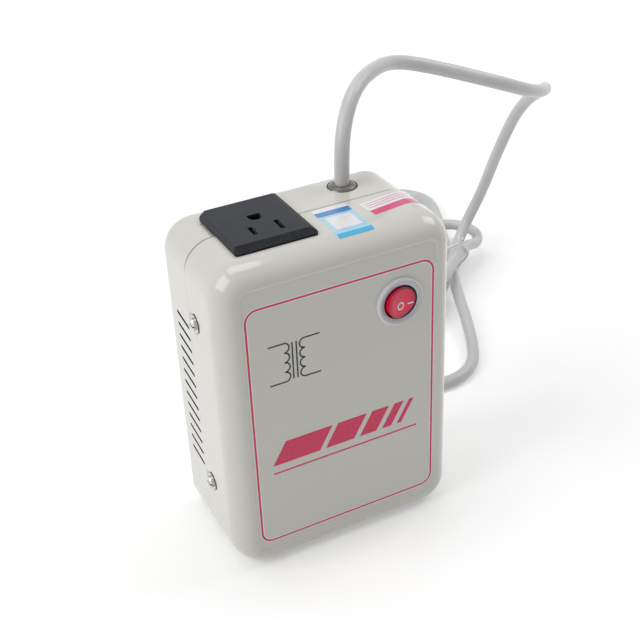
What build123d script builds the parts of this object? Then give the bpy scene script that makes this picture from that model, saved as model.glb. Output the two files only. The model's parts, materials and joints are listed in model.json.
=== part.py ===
from build123d import *
from math import acos, cos, degrees, dist, pi, radians, sin, tan
import os

# Travel voltage converter: a pressed steel box that holds a step-down transformer, with an outlet on
# its top, a rocker switch on its front and a mains cord that ends in a three-pin plug.
# X runs to the right, Y to the back and Z up. The origin lies under the middle of the case, in the
# plane where its two shells part. All lengths are in millimetres.

# Case
case_width = 116.0
case_height = 162.0
front_depth = 35.5
rear_depth = 30.5
case_corner = 14.5
sheet = 1.0
shell_step = 0.6
rear_round = 6.0
overrun = 5.0
fit_gap = 0.1

# Rim of the front shell, from its side to the crest and down to the label panel
rim_width = 9.0
rim_depth = 12.5
crest_round = 1.2
crest_hollow = 0.8
panel_drop = 0.7
panel_margin = 11.5

# Tongue of the rear shell, which slides into the front shell
tongue_clearance = 0.2
tongue_reach = 11.0
tongue_root = 3.0

# Side screws, each on a washer in a pressed dimple
side_screw_inset = 5.85
low_screw_height = 37.1
high_screw_drop = 36.2
side_screw_radius = 1.5
side_hole_clearance = 0.7
tongue_hole_clearance = 0.2
screw_head_radius = 2.8
screw_head_height = 1.7
screw_head_round = 0.9
screw_slot_width = 0.8
screw_slot_depth = 0.9
screw_end = 0.3
washer_radius = 4.5
washer_thickness = 0.6
washer_clearance = 0.15
dimple_radius = 6.25
dimple_floor_radius = 4.9
dimple_depth = 0.45
nut_across_flats = 5.5
nut_thickness = 2.4

# Vents, one row in each side of the rear shell
vent_count = 13
vent_pitch = 6.44
vent_drop = 43.05
vent_middle = 10.95
vent_length = 14.8
vent_width = 1.5
vent_slant = 9.1

# Outlet
plate_inset = 35.3
plate_width = 39.0
plate_depth = 44.0
plate_thickness = 2.0
plate_corner_cut = 4.0
plate_corner_round = 1.5
plate_edge_round = 0.4
bevel_run = 5.5
bevel_drop = 1.1
side_bevel_run = 2.0
side_bevel_drop = 0.6
collar_width = 33.0
collar_length = 36.0
collar_wall = 1.5
collar_depth = 8.0
cutout_clearance = 0.5
catch_width = 8.0
catch_reach = 1.3
catch_height = 4.0
recess_width = 2.0
recess_length = 14.0
recess_middle = 8.5
recess_depth = 0.4
socket_shift = 1.3
blade_spacing = 12.7
blade_row_offset = 7.35
ground_offset = 4.5
blade_slot_width = 2.2
line_slot_length = 7.3
neutral_slot_length = 8.8
ground_hole_radius = 3.1
ground_hole_flat = 2.4
outlet_body_clearance = 0.2
outlet_body_height = 21.8
pocket_width = 5.2
pocket_length = 9.8
pocket_floor = 2.0
leaf_thickness = 0.6
leaf_length = 8.0
leaf_spacing = 1.9
leaf_setback = 4.0
ground_sleeve_radius = 3.5
ground_sleeve_slit = 1.0
ground_pocket_clearance = 0.2
tail_width = 3.6
tail_drop = 7.0

# Switch
switch_inset = 29.3
switch_drop = 36.35
bezel_radius = 11.75
bezel_height = 2.0
bezel_land = 0.9
bezel_dish = 0.7
bezel_edge = 0.8
barrel_radius = 10.0
barrel_clearance = 0.2
barrel_depth = 17.0
barrel_floor = 2.5
bore_radius = 8.4
wing_reach = 1.2
wing_length = 5.0
wing_width = 6.0
rocker_radius = 7.8
rocker_rise = 3.1
rocker_dish = 0.9
rocker_skirt = 2.4
rocker_edge = 0.7
rocker_stem = 6.0
rocker_back = 6.0
rocker_throw = 22.0
pivot_radius = 1.2
pivot_length = 18.6
running_gap = 0.05
plunger_radius = 1.4
plunger_reach = 10.0
plunger_root = 2.2
plunger_clearance = 0.1
lever_throw = 16.0
lever_length = 12.4
lever_height = 4.0
lever_thickness = 0.6
lever_clearance = 0.3
lever_pin_radius = 0.6
lever_pin_length = 6.8
contact_offset = 5.0
contact_radius = 1.5
contact_gap = 0.3
ear_width = 2.4
ear_thickness = 0.6
ear_clearance = 0.4
ear_overlap = 0.8
terminal_thickness = 0.8
terminal_height = 4.8
terminal_reach = 8.0

# Cord's bushing in the rear shell
cord_inset = 29.5
cord_y = 16.5
cord_diameter = 7.2
cord_clearance = 0.1
bushing_radius = 7.2
bushing_clearance = 0.1
bushing_recess = 0.8
bushing_flange = 8.6
bushing_flange_thickness = 1.5
bushing_body = 6.6
bushing_length = 8.6
bushing_edge = 0.4
tab_angle = 211.0
tab_width = 2.6
tab_depth = 1.2
tab_clearance = 0.3
notch_angle = 323.0
notch_radius = 0.8
sheath_length = 23.0

# Transformer
core_width = 86.0
core_stack = 30.0
core_setback = 0.05
core_floor = 18.17
core_bolt_radius = 2.0
core_hole_clearance = 0.5
clamp_height = 12.0
clamp_thickness = 2.0
bolt_head_radius = 4.0
bolt_head_height = 2.6
bolt_end = 1.6
bolt_slot_width = 1.2
bolt_slot_depth = 1.3
core_washer_radius = 4.8
core_washer_thickness = 0.8
spacer_radius = 4.5
core_nut_across_flats = 7.0
core_nut_thickness = 3.2
bobbin_clearance = 0.3
bobbin_wall = 1.2
flange_thickness = 1.5
flange_reach = 13.0
inner_winding_share = 0.476
winding_side_gap = 1.333
tape_build = 0.3
winding_clearance = 0.1
coil_corner = 2.0
thermal_length = 22.0
thermal_width = 8.0
thermal_height = 4.0
thermal_round = 1.0

# Internal leads
lead_radius = 1.0
lead_lane = 1.9
lead_bend = 6.0
tap_spacing = 8.0
switch_tap_inset = 14.366
thermal_tap_inset = 6.366

# Far end of the cord: strain relief, moulded plug and its three flat pins
plug_y = 108.0
plug_relief_x = 68.0
plug_back_x = 38.0
plug_shoulder_x = 20.0
plug_face_x = 0.0
plug_width = 38.0
plug_height = 29.0
plug_corner = 9.0
plug_back_width = 20.0
plug_back_height = 17.0
plug_back_corner = 6.0
plug_edge = 1.2
relief_root_radius = 6.2
relief_tip_radius = 3.9
relief_rib_count = 5
relief_groove = 1.4
relief_groove_depth = 0.9
relief_groove_pitch = 4.4
pin_width = 6.4
pin_thickness = 1.5
pin_pitch = 13.8
pin_lift = 3.9
pin_lean = 30.0
power_pin_length = 18.0
earth_pin_length = 21.0
earth_pin_drop = 6.4
pin_root = 6.0
pin_clearance = 0.05

# Share of the shorter run that each end of a bend takes
bend_share = 0.45

os.makedirs("parts", exist_ok=True)

# Places that follow from the sizes above
side_x = case_width / 2
case_middle = case_height / 2
panel_y = panel_drop - front_depth
rim_root_y = rim_depth - front_depth
crest_x = side_x - rim_width
panel_edge_x = side_x - panel_margin
rear_top = case_height - shell_step
cavity_inset = shell_step + sheet
tongue_outer = sheet + tongue_clearance
tongue_inner = tongue_outer + sheet
rear_wall_y = rear_depth - sheet
side_screw_heights = (low_screw_height, case_height - high_screw_drop)
side_screw_places = [(side, height) for side in (-1, 1) for height in side_screw_heights]
vent_top = case_height - vent_drop
plate_x = plate_inset - side_x
switch_x = side_x - switch_inset
switch_z = case_height - switch_drop
cord_x = side_x - cord_inset


def case_outline(inset):
    """Draw the case's rounded outline, drawn in all round by the inset, on an XZ plane."""
    with Locations((0, case_middle)):
        RectangleRounded(case_width - 2 * inset, case_height - 2 * inset, case_corner - inset)


def front_plane(y):
    """Give the XZ plane at this depth, whose normal points to the front."""
    return Plane.XZ.offset(-y)


def side_place(side, height, outset=0):
    """Give a place on the case's left or right side, whose Z axis points outward."""
    return Location((side * (side_x + outset), -side_screw_inset, height), (0, side * 90, 0))


def bend_radii(points):
    """Give the radius of each corner of a route, as large as its two runs allow."""
    radii = []
    for before, here, after in zip(points, points[1:], points[2:]):
        run_in = Vector(*here) - Vector(*before)
        run_out = Vector(*after) - Vector(*here)
        half_turn = radians(run_in.get_angle(run_out)) / 2
        radii.append(bend_share * min(run_in.length, run_out.length) / tan(half_turn))
    return radii


def sweep_tube(points, radii, radius):
    """Sweep a round section along straight runs joined by tangent arcs, and give its line."""
    with BuildLine() as middle_line:
        FilletPolyline(*points, radius=radii)
    line = middle_line.wires()[0]
    with BuildSketch(Plane(origin=line @ 0, z_dir=line % 0)) as section:
        Circle(radius)
    sweep(section.sketch, path=line)
    return line


# Front shell: the rim's section goes round the case's outline, and the label panel closes it
rim_turn = degrees(acos(1 - panel_drop / (crest_round + crest_hollow)))

with BuildSketch(Plane.XZ) as rim_outline:
    case_outline(0)

with BuildPart() as front_shell:
    with BuildSketch(Plane.XY.offset(case_corner)):
        with BuildLine():
            Line((side_x, 0), (side_x, rim_root_y))
            EllipticalCenterArc((crest_x, rim_root_y), rim_width, rim_depth, start_angle=270, arc_size=90)
            crest = JernArc((crest_x, -front_depth), (-1, 0), crest_round, -rim_turn)
            hollow = JernArc(crest @ 1, crest % 1, crest_hollow, rim_turn)
            Line(hollow @ 1, (panel_edge_x, panel_y))
            Line((panel_edge_x, panel_y), (panel_edge_x, panel_y + sheet))
            Line((panel_edge_x, panel_y + sheet), (crest_x, sheet - front_depth))
            EllipticalCenterArc(
                (crest_x, rim_root_y), rim_width - sheet, rim_depth - sheet, start_angle=270, arc_size=90
            )
            Line((side_x - sheet, rim_root_y), (side_x - sheet, 0))
            Line((side_x - sheet, 0), (side_x, 0))
        make_face()
    sweep(path=rim_outline.sketch.faces()[0].outer_wire())
    with BuildSketch(front_plane(panel_y)):
        case_outline(panel_margin)
    extrude(amount=-sheet)
    for side, height in side_screw_places:
        with Locations(side_place(side, height)):
            Cone(
                dimple_floor_radius,
                dimple_radius,
                dimple_depth,
                align=(Align.CENTER, Align.CENTER, Align.MAX),
                mode=Mode.SUBTRACT,
            )
            Cylinder(side_screw_radius + side_hole_clearance, 2 * overrun, mode=Mode.SUBTRACT)
    with BuildSketch(front_plane(panel_y)):
        with Locations((switch_x, switch_z)):
            Circle(barrel_radius + barrel_clearance)
    extrude(amount=overrun, both=True, mode=Mode.SUBTRACT)
    with Locations((plate_x, 0, case_height)):
        Box(
            collar_width + 2 * cutout_clearance,
            collar_length + 2 * cutout_clearance,
            2 * overrun,
            mode=Mode.SUBTRACT,
        )
front_shell.part.label = "front_shell"
export_step(front_shell.part, "parts/front_shell.step")

# Rear shell: a rounded tray with a tongue inside the front shell, vents, and the cord's hole. The
# core hangs on it, midway between the label panel and the rear wall.
core_unit = core_width / 6
core_y = (panel_y + sheet + rear_wall_y) / 2 + core_setback
core_hole_x = core_width / 2 - core_unit / 2
core_height = 5 * core_unit
core_hole_places = [
    (side * core_hole_x, core_floor + level)
    for side in (-1, 1)
    for level in (core_unit / 2, core_height - core_unit / 2)
]

with BuildPart() as rear_shell:
    with BuildSketch(Plane.XZ):
        with Locations((0, rear_top / 2)):
            RectangleRounded(case_width - 2 * shell_step, rear_top, case_corner - shell_step)
    extrude(amount=-rear_depth)
    with BuildSketch(Plane.XZ):
        case_outline(cavity_inset)
    extrude(amount=-rear_wall_y, mode=Mode.SUBTRACT)
    fillet(rear_shell.faces().filter_by(Axis.Y).sort_by(Axis.Y)[-2].edges(), rear_round - sheet)
    fillet(rear_shell.faces().filter_by(Axis.Y).sort_by(Axis.Y)[-1].edges(), rear_round)
    with BuildSketch(front_plane(tongue_root)):
        case_outline(tongue_outer)
        with Locations((0, case_middle)):
            RectangleRounded(
                case_width - 2 * tongue_inner,
                case_height - 2 * tongue_inner,
                case_corner - tongue_inner,
                mode=Mode.SUBTRACT,
            )
    extrude(amount=tongue_root + tongue_reach)
    for row in range(vent_count):
        with BuildSketch(Plane.YZ):
            with Locations((vent_middle, vent_top - row * vent_pitch)):
                SlotOverall(vent_length, vent_width, rotation=vent_slant)
        extrude(amount=case_width, both=True, mode=Mode.SUBTRACT)
    for side, height in side_screw_places:
        with Locations(side_place(side, height)):
            Cylinder(side_screw_radius + tongue_hole_clearance, 2 * overrun, mode=Mode.SUBTRACT)
    with Locations((plate_x, 0, case_height)):
        Box(
            collar_width + 2 * cutout_clearance,
            collar_length + 2 * cutout_clearance,
            2 * overrun,
            mode=Mode.SUBTRACT,
        )
    with Locations((plate_x - plate_width / 2, recess_middle, rear_top)):
        Box(recess_width, recess_length, 2 * recess_depth, mode=Mode.SUBTRACT)
    with BuildSketch(Plane.XY.offset(rear_top)):
        with Locations((cord_x, cord_y)):
            Circle(bushing_radius + bushing_clearance)
            with Locations(Location((0, 0), tab_angle)):
                with Locations((bushing_radius + bushing_clearance, 0)):
                    Rectangle(2 * tab_depth, tab_width, mode=Mode.SUBTRACT)
    extrude(amount=overrun, both=True, mode=Mode.SUBTRACT)
    with BuildSketch(front_plane(rear_depth)):
        with Locations(*core_hole_places):
            Circle(core_bolt_radius + core_hole_clearance)
    extrude(amount=overrun, both=True, mode=Mode.SUBTRACT)
rear_shell.part.label = "rear_shell"
export_step(rear_shell.part, "parts/rear_shell.step")

# Screws, washers and nuts at the sides: each washer lies on its dimple's floor
washer_face = washer_thickness - dimple_depth
nut_seat = -tongue_inner
screw_length = washer_face - nut_seat + nut_thickness + screw_end

with BuildPart() as case_washers:
    for side, height in side_screw_places:
        with Locations(side_place(side, height, washer_face)):
            Cylinder(washer_radius, washer_thickness, align=(Align.CENTER, Align.CENTER, Align.MAX))
            Cylinder(
                side_screw_radius + washer_clearance,
                washer_thickness,
                align=(Align.CENTER, Align.CENTER, Align.MAX),
                mode=Mode.SUBTRACT,
            )
case_washers.part.label = "case_washers"
export_step(case_washers.part, "parts/case_washers.step")

with BuildPart() as case_screws:
    for side, height in side_screw_places:
        with Locations(side_place(side, height, washer_face)):
            Cylinder(screw_head_radius, screw_head_height, align=(Align.CENTER, Align.CENTER, Align.MIN))
            Cylinder(side_screw_radius, screw_length, align=(Align.CENTER, Align.CENTER, Align.MAX))
    head_faces = case_screws.faces().filter_by(Axis.X).sort_by(Axis.X)
    head_pairs = len(side_screw_heights)
    for head in head_faces[:head_pairs] + head_faces[-head_pairs:]:
        fillet(head.edges(), screw_head_round)
    for side, height in side_screw_places:
        with Locations(side_place(side, height, washer_face + screw_head_height)):
            Box(screw_slot_width, 3 * screw_head_radius, 2 * screw_slot_depth, mode=Mode.SUBTRACT)
case_screws.part.label = "case_screws"
export_step(case_screws.part, "parts/case_screws.step")

with BuildPart() as case_nuts:
    for side, height in side_screw_places:
        seat = Plane(side_place(side, height, nut_seat))
        with BuildSketch(seat):
            RegularPolygon(nut_across_flats / 2, 6, major_radius=False)
            Circle(side_screw_radius + washer_clearance, mode=Mode.SUBTRACT)
        extrude(amount=-nut_thickness)
case_nuts.part.label = "case_nuts"
export_step(case_nuts.part, "parts/case_nuts.step")

# Outlet plate: bevelled to the front and a little to its sides, with a collar that snaps into the
# shells
plate_top = case_height + plate_thickness
plate_front = -plate_depth / 2
socket_x = plate_x + socket_shift
line_x = socket_x - blade_spacing / 2
neutral_x = socket_x + blade_spacing / 2
blade_row_y = -blade_row_offset
catch_top = case_height - tongue_inner - fit_gap

with BuildPart() as outlet_cover:
    with BuildSketch(Plane.XY.offset(case_height)) as plate_outline:
        with Locations((plate_x, 0)):
            Rectangle(plate_width, plate_depth)
        chamfer(plate_outline.vertices().group_by(Axis.X)[0].sort_by(Axis.Y)[-1], plate_corner_cut)
        fillet(plate_outline.vertices().group_by(Axis.Y)[0], plate_corner_round)
    extrude(amount=plate_thickness)
    with BuildSketch(Plane.YZ.offset(plate_x)):
        with BuildLine():
            Polyline(
                (plate_front, plate_top - bevel_drop),
                (plate_front + bevel_run, plate_top),
                (plate_front, plate_top),
                close=True,
            )
        make_face()
    extrude(amount=plate_width, both=True, mode=Mode.SUBTRACT)
    for side in (-1, 1):
        plate_side = plate_x + side * plate_width / 2
        with BuildSketch(Plane.XZ):
            with BuildLine():
                Polyline(
                    (plate_side, plate_top - side_bevel_drop),
                    (plate_side - side * side_bevel_run, plate_top),
                    (plate_side, plate_top),
                    close=True,
                )
            make_face()
        extrude(amount=plate_depth, both=True, mode=Mode.SUBTRACT)
    fillet(outlet_cover.faces().sort_by(Axis.Z)[-1].edges(), plate_edge_round)
    extrude(plate_outline.sketch, amount=fit_gap - shell_step)
    with Locations((plate_x, fit_gap, case_height)):
        Box(
            plate_width,
            plate_depth,
            2 * shell_step,
            align=(Align.CENTER, Align.MAX, Align.MAX),
            mode=Mode.SUBTRACT,
        )
    with BuildSketch(Plane.XY.offset(case_height)):
        with Locations((plate_x, 0)):
            Rectangle(collar_width, collar_length)
    extrude(amount=-collar_depth)
    with BuildSketch(Plane.XY.offset(case_height)):
        with Locations((plate_x, 0)):
            Rectangle(collar_width - 2 * collar_wall, collar_length - 2 * collar_wall)
    extrude(amount=-collar_depth, mode=Mode.SUBTRACT)
    for side in (-1, 1):
        root_x = plate_x + side * (collar_width / 2 - collar_wall)
        with BuildSketch(Plane.XZ):
            with BuildLine():
                Polyline(
                    (root_x, catch_top),
                    (plate_x + side * (collar_width / 2 + catch_reach), catch_top),
                    (plate_x + side * collar_width / 2, catch_top - catch_height),
                    (root_x, catch_top - catch_height),
                    close=True,
                )
            make_face()
        extrude(amount=catch_width / 2, both=True)
    with BuildSketch(Plane.XY.offset(plate_top)):
        with Locations((line_x, blade_row_y)):
            Rectangle(blade_slot_width, line_slot_length)
        with Locations((neutral_x, blade_row_y)):
            Rectangle(blade_slot_width, neutral_slot_length)
        with Locations((socket_x, ground_offset)):
            Circle(ground_hole_radius)
            Rectangle(2 * ground_hole_radius, ground_hole_flat, align=(Align.CENTER, Align.MIN))
        with Locations((socket_x, ground_offset + ground_hole_flat)):
            Rectangle(
                2 * ground_hole_radius,
                ground_hole_radius,
                align=(Align.CENTER, Align.MIN),
                mode=Mode.SUBTRACT,
            )
    extrude(amount=-plate_thickness, mode=Mode.SUBTRACT)
outlet_cover.part.label = "outlet_cover"
export_step(outlet_cover.part, "parts/outlet_cover.step")

# Outlet's insulating body, with a pocket and a floor slot for each contact
body_width = collar_width - 2 * (collar_wall + outlet_body_clearance)
body_length = collar_length - 2 * (collar_wall + outlet_body_clearance)
body_top = case_height - outlet_body_clearance
body_bottom = body_top - outlet_body_height
pocket_bottom = body_bottom + pocket_floor
contact_places = [(line_x, blade_row_y), (neutral_x, blade_row_y), (socket_x, ground_offset)]

with BuildPart() as outlet_body:
    with BuildSketch(Plane.XY.offset(body_bottom)):
        with Locations((plate_x, 0)):
            Rectangle(body_width, body_length)
    extrude(amount=outlet_body_height)
    with BuildSketch(Plane.XY.offset(body_top)):
        with Locations(*contact_places[:2]):
            Rectangle(pocket_width, pocket_length)
        with Locations(contact_places[2]):
            Circle(ground_sleeve_radius + ground_pocket_clearance)
    extrude(amount=pocket_floor - outlet_body_height, mode=Mode.SUBTRACT)
    with BuildSketch(Plane.XY.offset(pocket_bottom)):
        with Locations(*contact_places):
            Rectangle(leaf_thickness + 2 * fit_gap, tail_width + 2 * fit_gap)
    extrude(amount=-pocket_floor, mode=Mode.SUBTRACT)
outlet_body.part.label = "outlet_body"
export_step(outlet_body.part, "parts/outlet_body.step")

# Contacts: two springy leaves or a slit sleeve on a web, with a tail through the floor
leaf_top = body_top - leaf_setback
web_bottom = pocket_bottom + fit_gap
web_width = leaf_spacing + 2 * leaf_thickness
tail_bottom = web_bottom - tail_drop


def blade_contact(x):
    """Make a blade's contact at this place along the row."""
    with Locations((x, blade_row_y, web_bottom)):
        Box(web_width, leaf_length, leaf_top - web_bottom, align=(Align.CENTER, Align.CENTER, Align.MIN))
    with Locations((x, blade_row_y, web_bottom + leaf_thickness)):
        Box(
            leaf_spacing,
            leaf_length,
            leaf_top - web_bottom,
            align=(Align.CENTER, Align.CENTER, Align.MIN),
            mode=Mode.SUBTRACT,
        )
    with Locations((x, blade_row_y, web_bottom)):
        Box(leaf_thickness, tail_width, tail_drop, align=(Align.CENTER, Align.CENTER, Align.MAX))


with BuildPart() as line_contact:
    blade_contact(line_x)
line_contact.part.label = "line_contact"
export_step(line_contact.part, "parts/line_contact.step")

with BuildPart() as neutral_contact:
    blade_contact(neutral_x)
neutral_contact.part.label = "neutral_contact"
export_step(neutral_contact.part, "parts/neutral_contact.step")

with BuildPart() as ground_contact:
    with BuildSketch(Plane.XY.offset(web_bottom)):
        with Locations((socket_x, ground_offset)):
            Circle(ground_sleeve_radius)
    extrude(amount=leaf_top - web_bottom)
    with BuildSketch(Plane.XY.offset(web_bottom + leaf_thickness)):
        with Locations((socket_x, ground_offset)):
            Circle(ground_sleeve_radius - leaf_thickness)
            Rectangle(ground_sleeve_slit, 3 * ground_sleeve_radius)
    extrude(amount=leaf_top - web_bottom, mode=Mode.SUBTRACT)
    with Locations((socket_x, ground_offset, web_bottom)):
        Box(leaf_thickness, tail_width, tail_drop, align=(Align.CENTER, Align.CENTER, Align.MAX))
ground_contact.part.label = "ground_contact"
export_step(ground_contact.part, "parts/ground_contact.step")

# Switch barrel: turned about the axis that runs straight into the panel
switch_face = Plane(origin=(switch_x, panel_y, switch_z), x_dir=(1, 0, 0), z_dir=(0, 0, 1))
switch_axis = Axis((switch_x, panel_y, switch_z), (0, 1, 0))
barrel_end_y = panel_y + barrel_depth
floor_face_y = barrel_end_y - barrel_floor
lever_y = panel_y + plunger_reach + plunger_radius + lever_clearance + lever_thickness / 2
land_outer = bezel_radius - bezel_edge
land_inner = land_outer - bezel_land

with BuildPart() as switch_body:
    with BuildSketch(switch_face):
        with BuildLine():
            Line((0, barrel_depth - barrel_floor), (bore_radius, barrel_depth - barrel_floor))
            Line((bore_radius, barrel_depth - barrel_floor), (bore_radius, bezel_dish - bezel_height))
            Line((bore_radius, bezel_dish - bezel_height), (land_inner, -bezel_height))
            Line((land_inner, -bezel_height), (land_outer, -bezel_height))
            RadiusArc(
                (land_outer, -bezel_height),
                (bezel_radius, bezel_edge - bezel_height),
                bezel_edge,
            )
            Line((bezel_radius, bezel_edge - bezel_height), (bezel_radius, 0))
            Line((bezel_radius, 0), (barrel_radius, 0))
            Line((barrel_radius, 0), (barrel_radius, barrel_depth))
            Line((barrel_radius, barrel_depth), (0, barrel_depth))
            Line((0, barrel_depth), (0, barrel_depth - barrel_floor))
        make_face()
    revolve(axis=switch_axis)
    with Locations((switch_x, panel_y, switch_z)):
        Cylinder(pivot_radius + running_gap, pivot_length + 4 * fit_gap, mode=Mode.SUBTRACT)
    for side in (-1, 1):
        with BuildSketch(switch_face):
            with BuildLine():
                Polyline(
                    (side * (barrel_radius - fit_gap), sheet + fit_gap),
                    (side * (barrel_radius + wing_reach), sheet + fit_gap),
                    (side * barrel_radius, sheet + wing_length),
                    (side * (barrel_radius - fit_gap), sheet + wing_length),
                    close=True,
                )
            make_face()
        extrude(amount=wing_width / 2, both=True)
    for place in (-contact_offset, 0, contact_offset):
        with Locations((switch_x + place, barrel_end_y, switch_z)):
            Box(
                terminal_thickness + 2 * fit_gap,
                2 * barrel_floor + overrun,
                terminal_height + 2 * fit_gap,
                mode=Mode.SUBTRACT,
            )
switch_body.part.label = "switch_body"
export_step(switch_body.part, "parts/switch_body.step")

# Rocker: a dished round key on a pivot, pressed in on its right, where the dash is
rocker_lean = radians(rocker_throw / 2)
rocker_plane = Plane(
    origin=(switch_x, panel_y, switch_z),
    x_dir=(cos(rocker_lean), sin(rocker_lean), 0),
    z_dir=(0, 0, 1),
)
rocker_end_plane = Plane(
    origin=(switch_x, panel_y, switch_z),
    x_dir=(cos(rocker_lean), sin(rocker_lean), 0),
    z_dir=(sin(rocker_lean), -cos(rocker_lean), 0),
)

with BuildPart() as switch_rocker:
    with BuildSketch(rocker_end_plane.offset(-rocker_skirt)):
        Circle(rocker_radius)
    extrude(amount=rocker_skirt + rocker_rise)
    with BuildSketch(rocker_plane):
        with BuildLine():
            ThreePointArc(
                (-rocker_radius, -rocker_rise),
                (0, rocker_dish - rocker_rise),
                (rocker_radius, -rocker_rise),
            )
            Polyline(
                (rocker_radius, -rocker_rise),
                (rocker_radius, -rocker_rise - overrun),
                (-rocker_radius, -rocker_rise - overrun),
                (-rocker_radius, -rocker_rise),
            )
        make_face()
    extrude(amount=2 * rocker_radius, both=True, mode=Mode.SUBTRACT)
    fillet(switch_rocker.faces().sort_by(Axis.Y)[0].edges(), rocker_edge)
    with BuildSketch(rocker_end_plane.offset(-rocker_skirt)):
        Rectangle(rocker_stem, 2 * rocker_stem)
    extrude(amount=rocker_skirt - rocker_back)
    with Locations((switch_x, panel_y, switch_z)):
        Cylinder(pivot_radius, pivot_length)
    with BuildSketch(rocker_end_plane.offset(-rocker_back)):
        Circle(plunger_radius + plunger_clearance)
    extrude(amount=rocker_back - plunger_root + plunger_clearance, mode=Mode.SUBTRACT)
switch_rocker.part.label = "switch_rocker"
export_step(switch_rocker.part, "parts/switch_rocker.step")

with BuildPart() as rocker_plunger:
    with BuildSketch(rocker_plane):
        with BuildLine():
            Polyline(
                (0, plunger_reach + plunger_radius),
                (0, plunger_root),
                (plunger_radius, plunger_root),
                (plunger_radius, plunger_reach),
            )
            RadiusArc((plunger_radius, plunger_reach), (0, plunger_reach + plunger_radius), -plunger_radius)
        make_face()
    revolve(axis=Axis((switch_x, panel_y, switch_z), (-sin(rocker_lean), cos(rocker_lean), 0)))
rocker_plunger.part.label = "rocker_plunger"
export_step(rocker_plunger.part, "parts/rocker_plunger.step")

# Contact lever: a seesaw that the plunger tips the other way
lever_lean = radians(-lever_throw / 2)
lever_plane = Plane(
    origin=(switch_x, lever_y, switch_z),
    x_dir=(cos(lever_lean), sin(lever_lean), 0),
    z_dir=(0, 0, 1),
)

with BuildPart() as switch_lever:
    with BuildSketch(lever_plane):
        Rectangle(lever_length, lever_thickness)
    extrude(amount=lever_height / 2, both=True)
    with BuildSketch(lever_plane):
        Circle(lever_pin_radius)
    extrude(amount=lever_pin_length / 2, both=True)
switch_lever.part.label = "switch_lever"
export_step(switch_lever.part, "parts/switch_lever.step")

# Terminals: two with a contact button and, between them, the fork that carries the lever
lever_end_drop = contact_offset * sin(-lever_lean) + lever_thickness / 2 / cos(lever_lean)
button_face_y = lever_y + lever_end_drop + contact_gap
terminal_length = barrel_end_y + terminal_reach - floor_face_y
ear_place = lever_height / 2 + ear_clearance + ear_thickness / 2
ear_front_y = lever_y - ear_overlap - lever_pin_radius

with BuildPart() as switch_terminals:
    for side in (-1, 1):
        with Locations((switch_x + side * contact_offset, floor_face_y, switch_z)):
            Box(
                terminal_thickness,
                terminal_length,
                terminal_height,
                align=(Align.CENTER, Align.MIN, Align.CENTER),
            )
        with BuildSketch(front_plane(floor_face_y)):
            with Locations((switch_x + side * contact_offset, switch_z)):
                Circle(contact_radius)
        extrude(amount=floor_face_y - button_face_y)
    with Locations((switch_x, floor_face_y, switch_z)):
        Box(
            terminal_thickness,
            terminal_length,
            terminal_height,
            align=(Align.CENTER, Align.MIN, Align.CENTER),
        )
        Box(
            ear_width,
            ear_thickness,
            2 * ear_place + ear_thickness,
            align=(Align.CENTER, Align.MAX, Align.CENTER),
        )
    for side in (-1, 1):
        with Locations((switch_x, ear_front_y, switch_z + side * ear_place)):
            Box(
                ear_width,
                floor_face_y - ear_front_y,
                ear_thickness,
                align=(Align.CENTER, Align.MIN, Align.CENTER),
            )
    with Locations((switch_x, lever_y, switch_z)):
        Cylinder(lever_pin_radius + running_gap, lever_pin_length + 2 * ear_thickness, mode=Mode.SUBTRACT)
switch_terminals.part.label = "switch_terminals"
export_step(switch_terminals.part, "parts/switch_terminals.step")

# Bushing: a short sleeve with a flange under the sheet, a slot for the sheet's tab and a small notch
cord_radius = cord_diameter / 2
bushing_top = rear_top - bushing_recess
flange_top = rear_top - sheet - fit_gap
cord_place = Plane.XY.offset(bushing_top)

with BuildPart() as cord_bushing:
    with BuildSketch(Plane(origin=(cord_x, cord_y, bushing_top), x_dir=(1, 0, 0), z_dir=(0, -1, 0))):
        with BuildLine():
            Polyline(
                (cord_radius + cord_clearance, 0),
                (bushing_radius - bushing_edge, 0),
                (bushing_radius, -bushing_edge),
                (bushing_radius, flange_top - bushing_top),
                (bushing_flange, flange_top - bushing_top),
                (bushing_flange, flange_top - bushing_top - bushing_flange_thickness),
                (bushing_body, flange_top - bushing_top - bushing_flange_thickness),
                (bushing_body, -bushing_length),
                (cord_radius + cord_clearance, -bushing_length),
                close=True,
            )
        make_face()
    revolve(axis=Axis((cord_x, cord_y, 0), (0, 0, 1)))
    with BuildSketch(cord_place):
        with Locations((cord_x, cord_y)):
            with Locations(Location((0, 0), tab_angle)):
                with Locations((bushing_radius, 0)):
                    Rectangle(2 * (tab_depth + tab_clearance), tab_width + 2 * tab_clearance)
            with Locations(Location((0, 0), notch_angle)):
                with Locations((bushing_radius - notch_radius, 0)):
                    Circle(notch_radius)
    extrude(amount=-sheet, mode=Mode.SUBTRACT)
cord_bushing.part.label = "cord_bushing"
export_step(cord_bushing.part, "parts/cord_bushing.step")

sheath_bottom = bushing_top - sheath_length

with BuildPart() as cord_sheath_end:
    with BuildSketch(Plane.XY.offset(bushing_top)):
        with Locations((cord_x, cord_y)):
            Circle(cord_radius)
    extrude(amount=-sheath_length)
cord_sheath_end.part.label = "cord_sheath_end"
export_step(cord_sheath_end.part, "parts/cord_sheath_end.step")

# Transformer core: a three-legged stack closed by a bar, in units of half the middle leg
core_top = core_floor + core_height
core_front = core_y - core_stack / 2
core_back = core_y + core_stack / 2
leg_height = 3 * core_unit
window_bottom = core_floor + core_unit
window_top = window_bottom + leg_height
coil_middle = window_bottom + leg_height / 2

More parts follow.
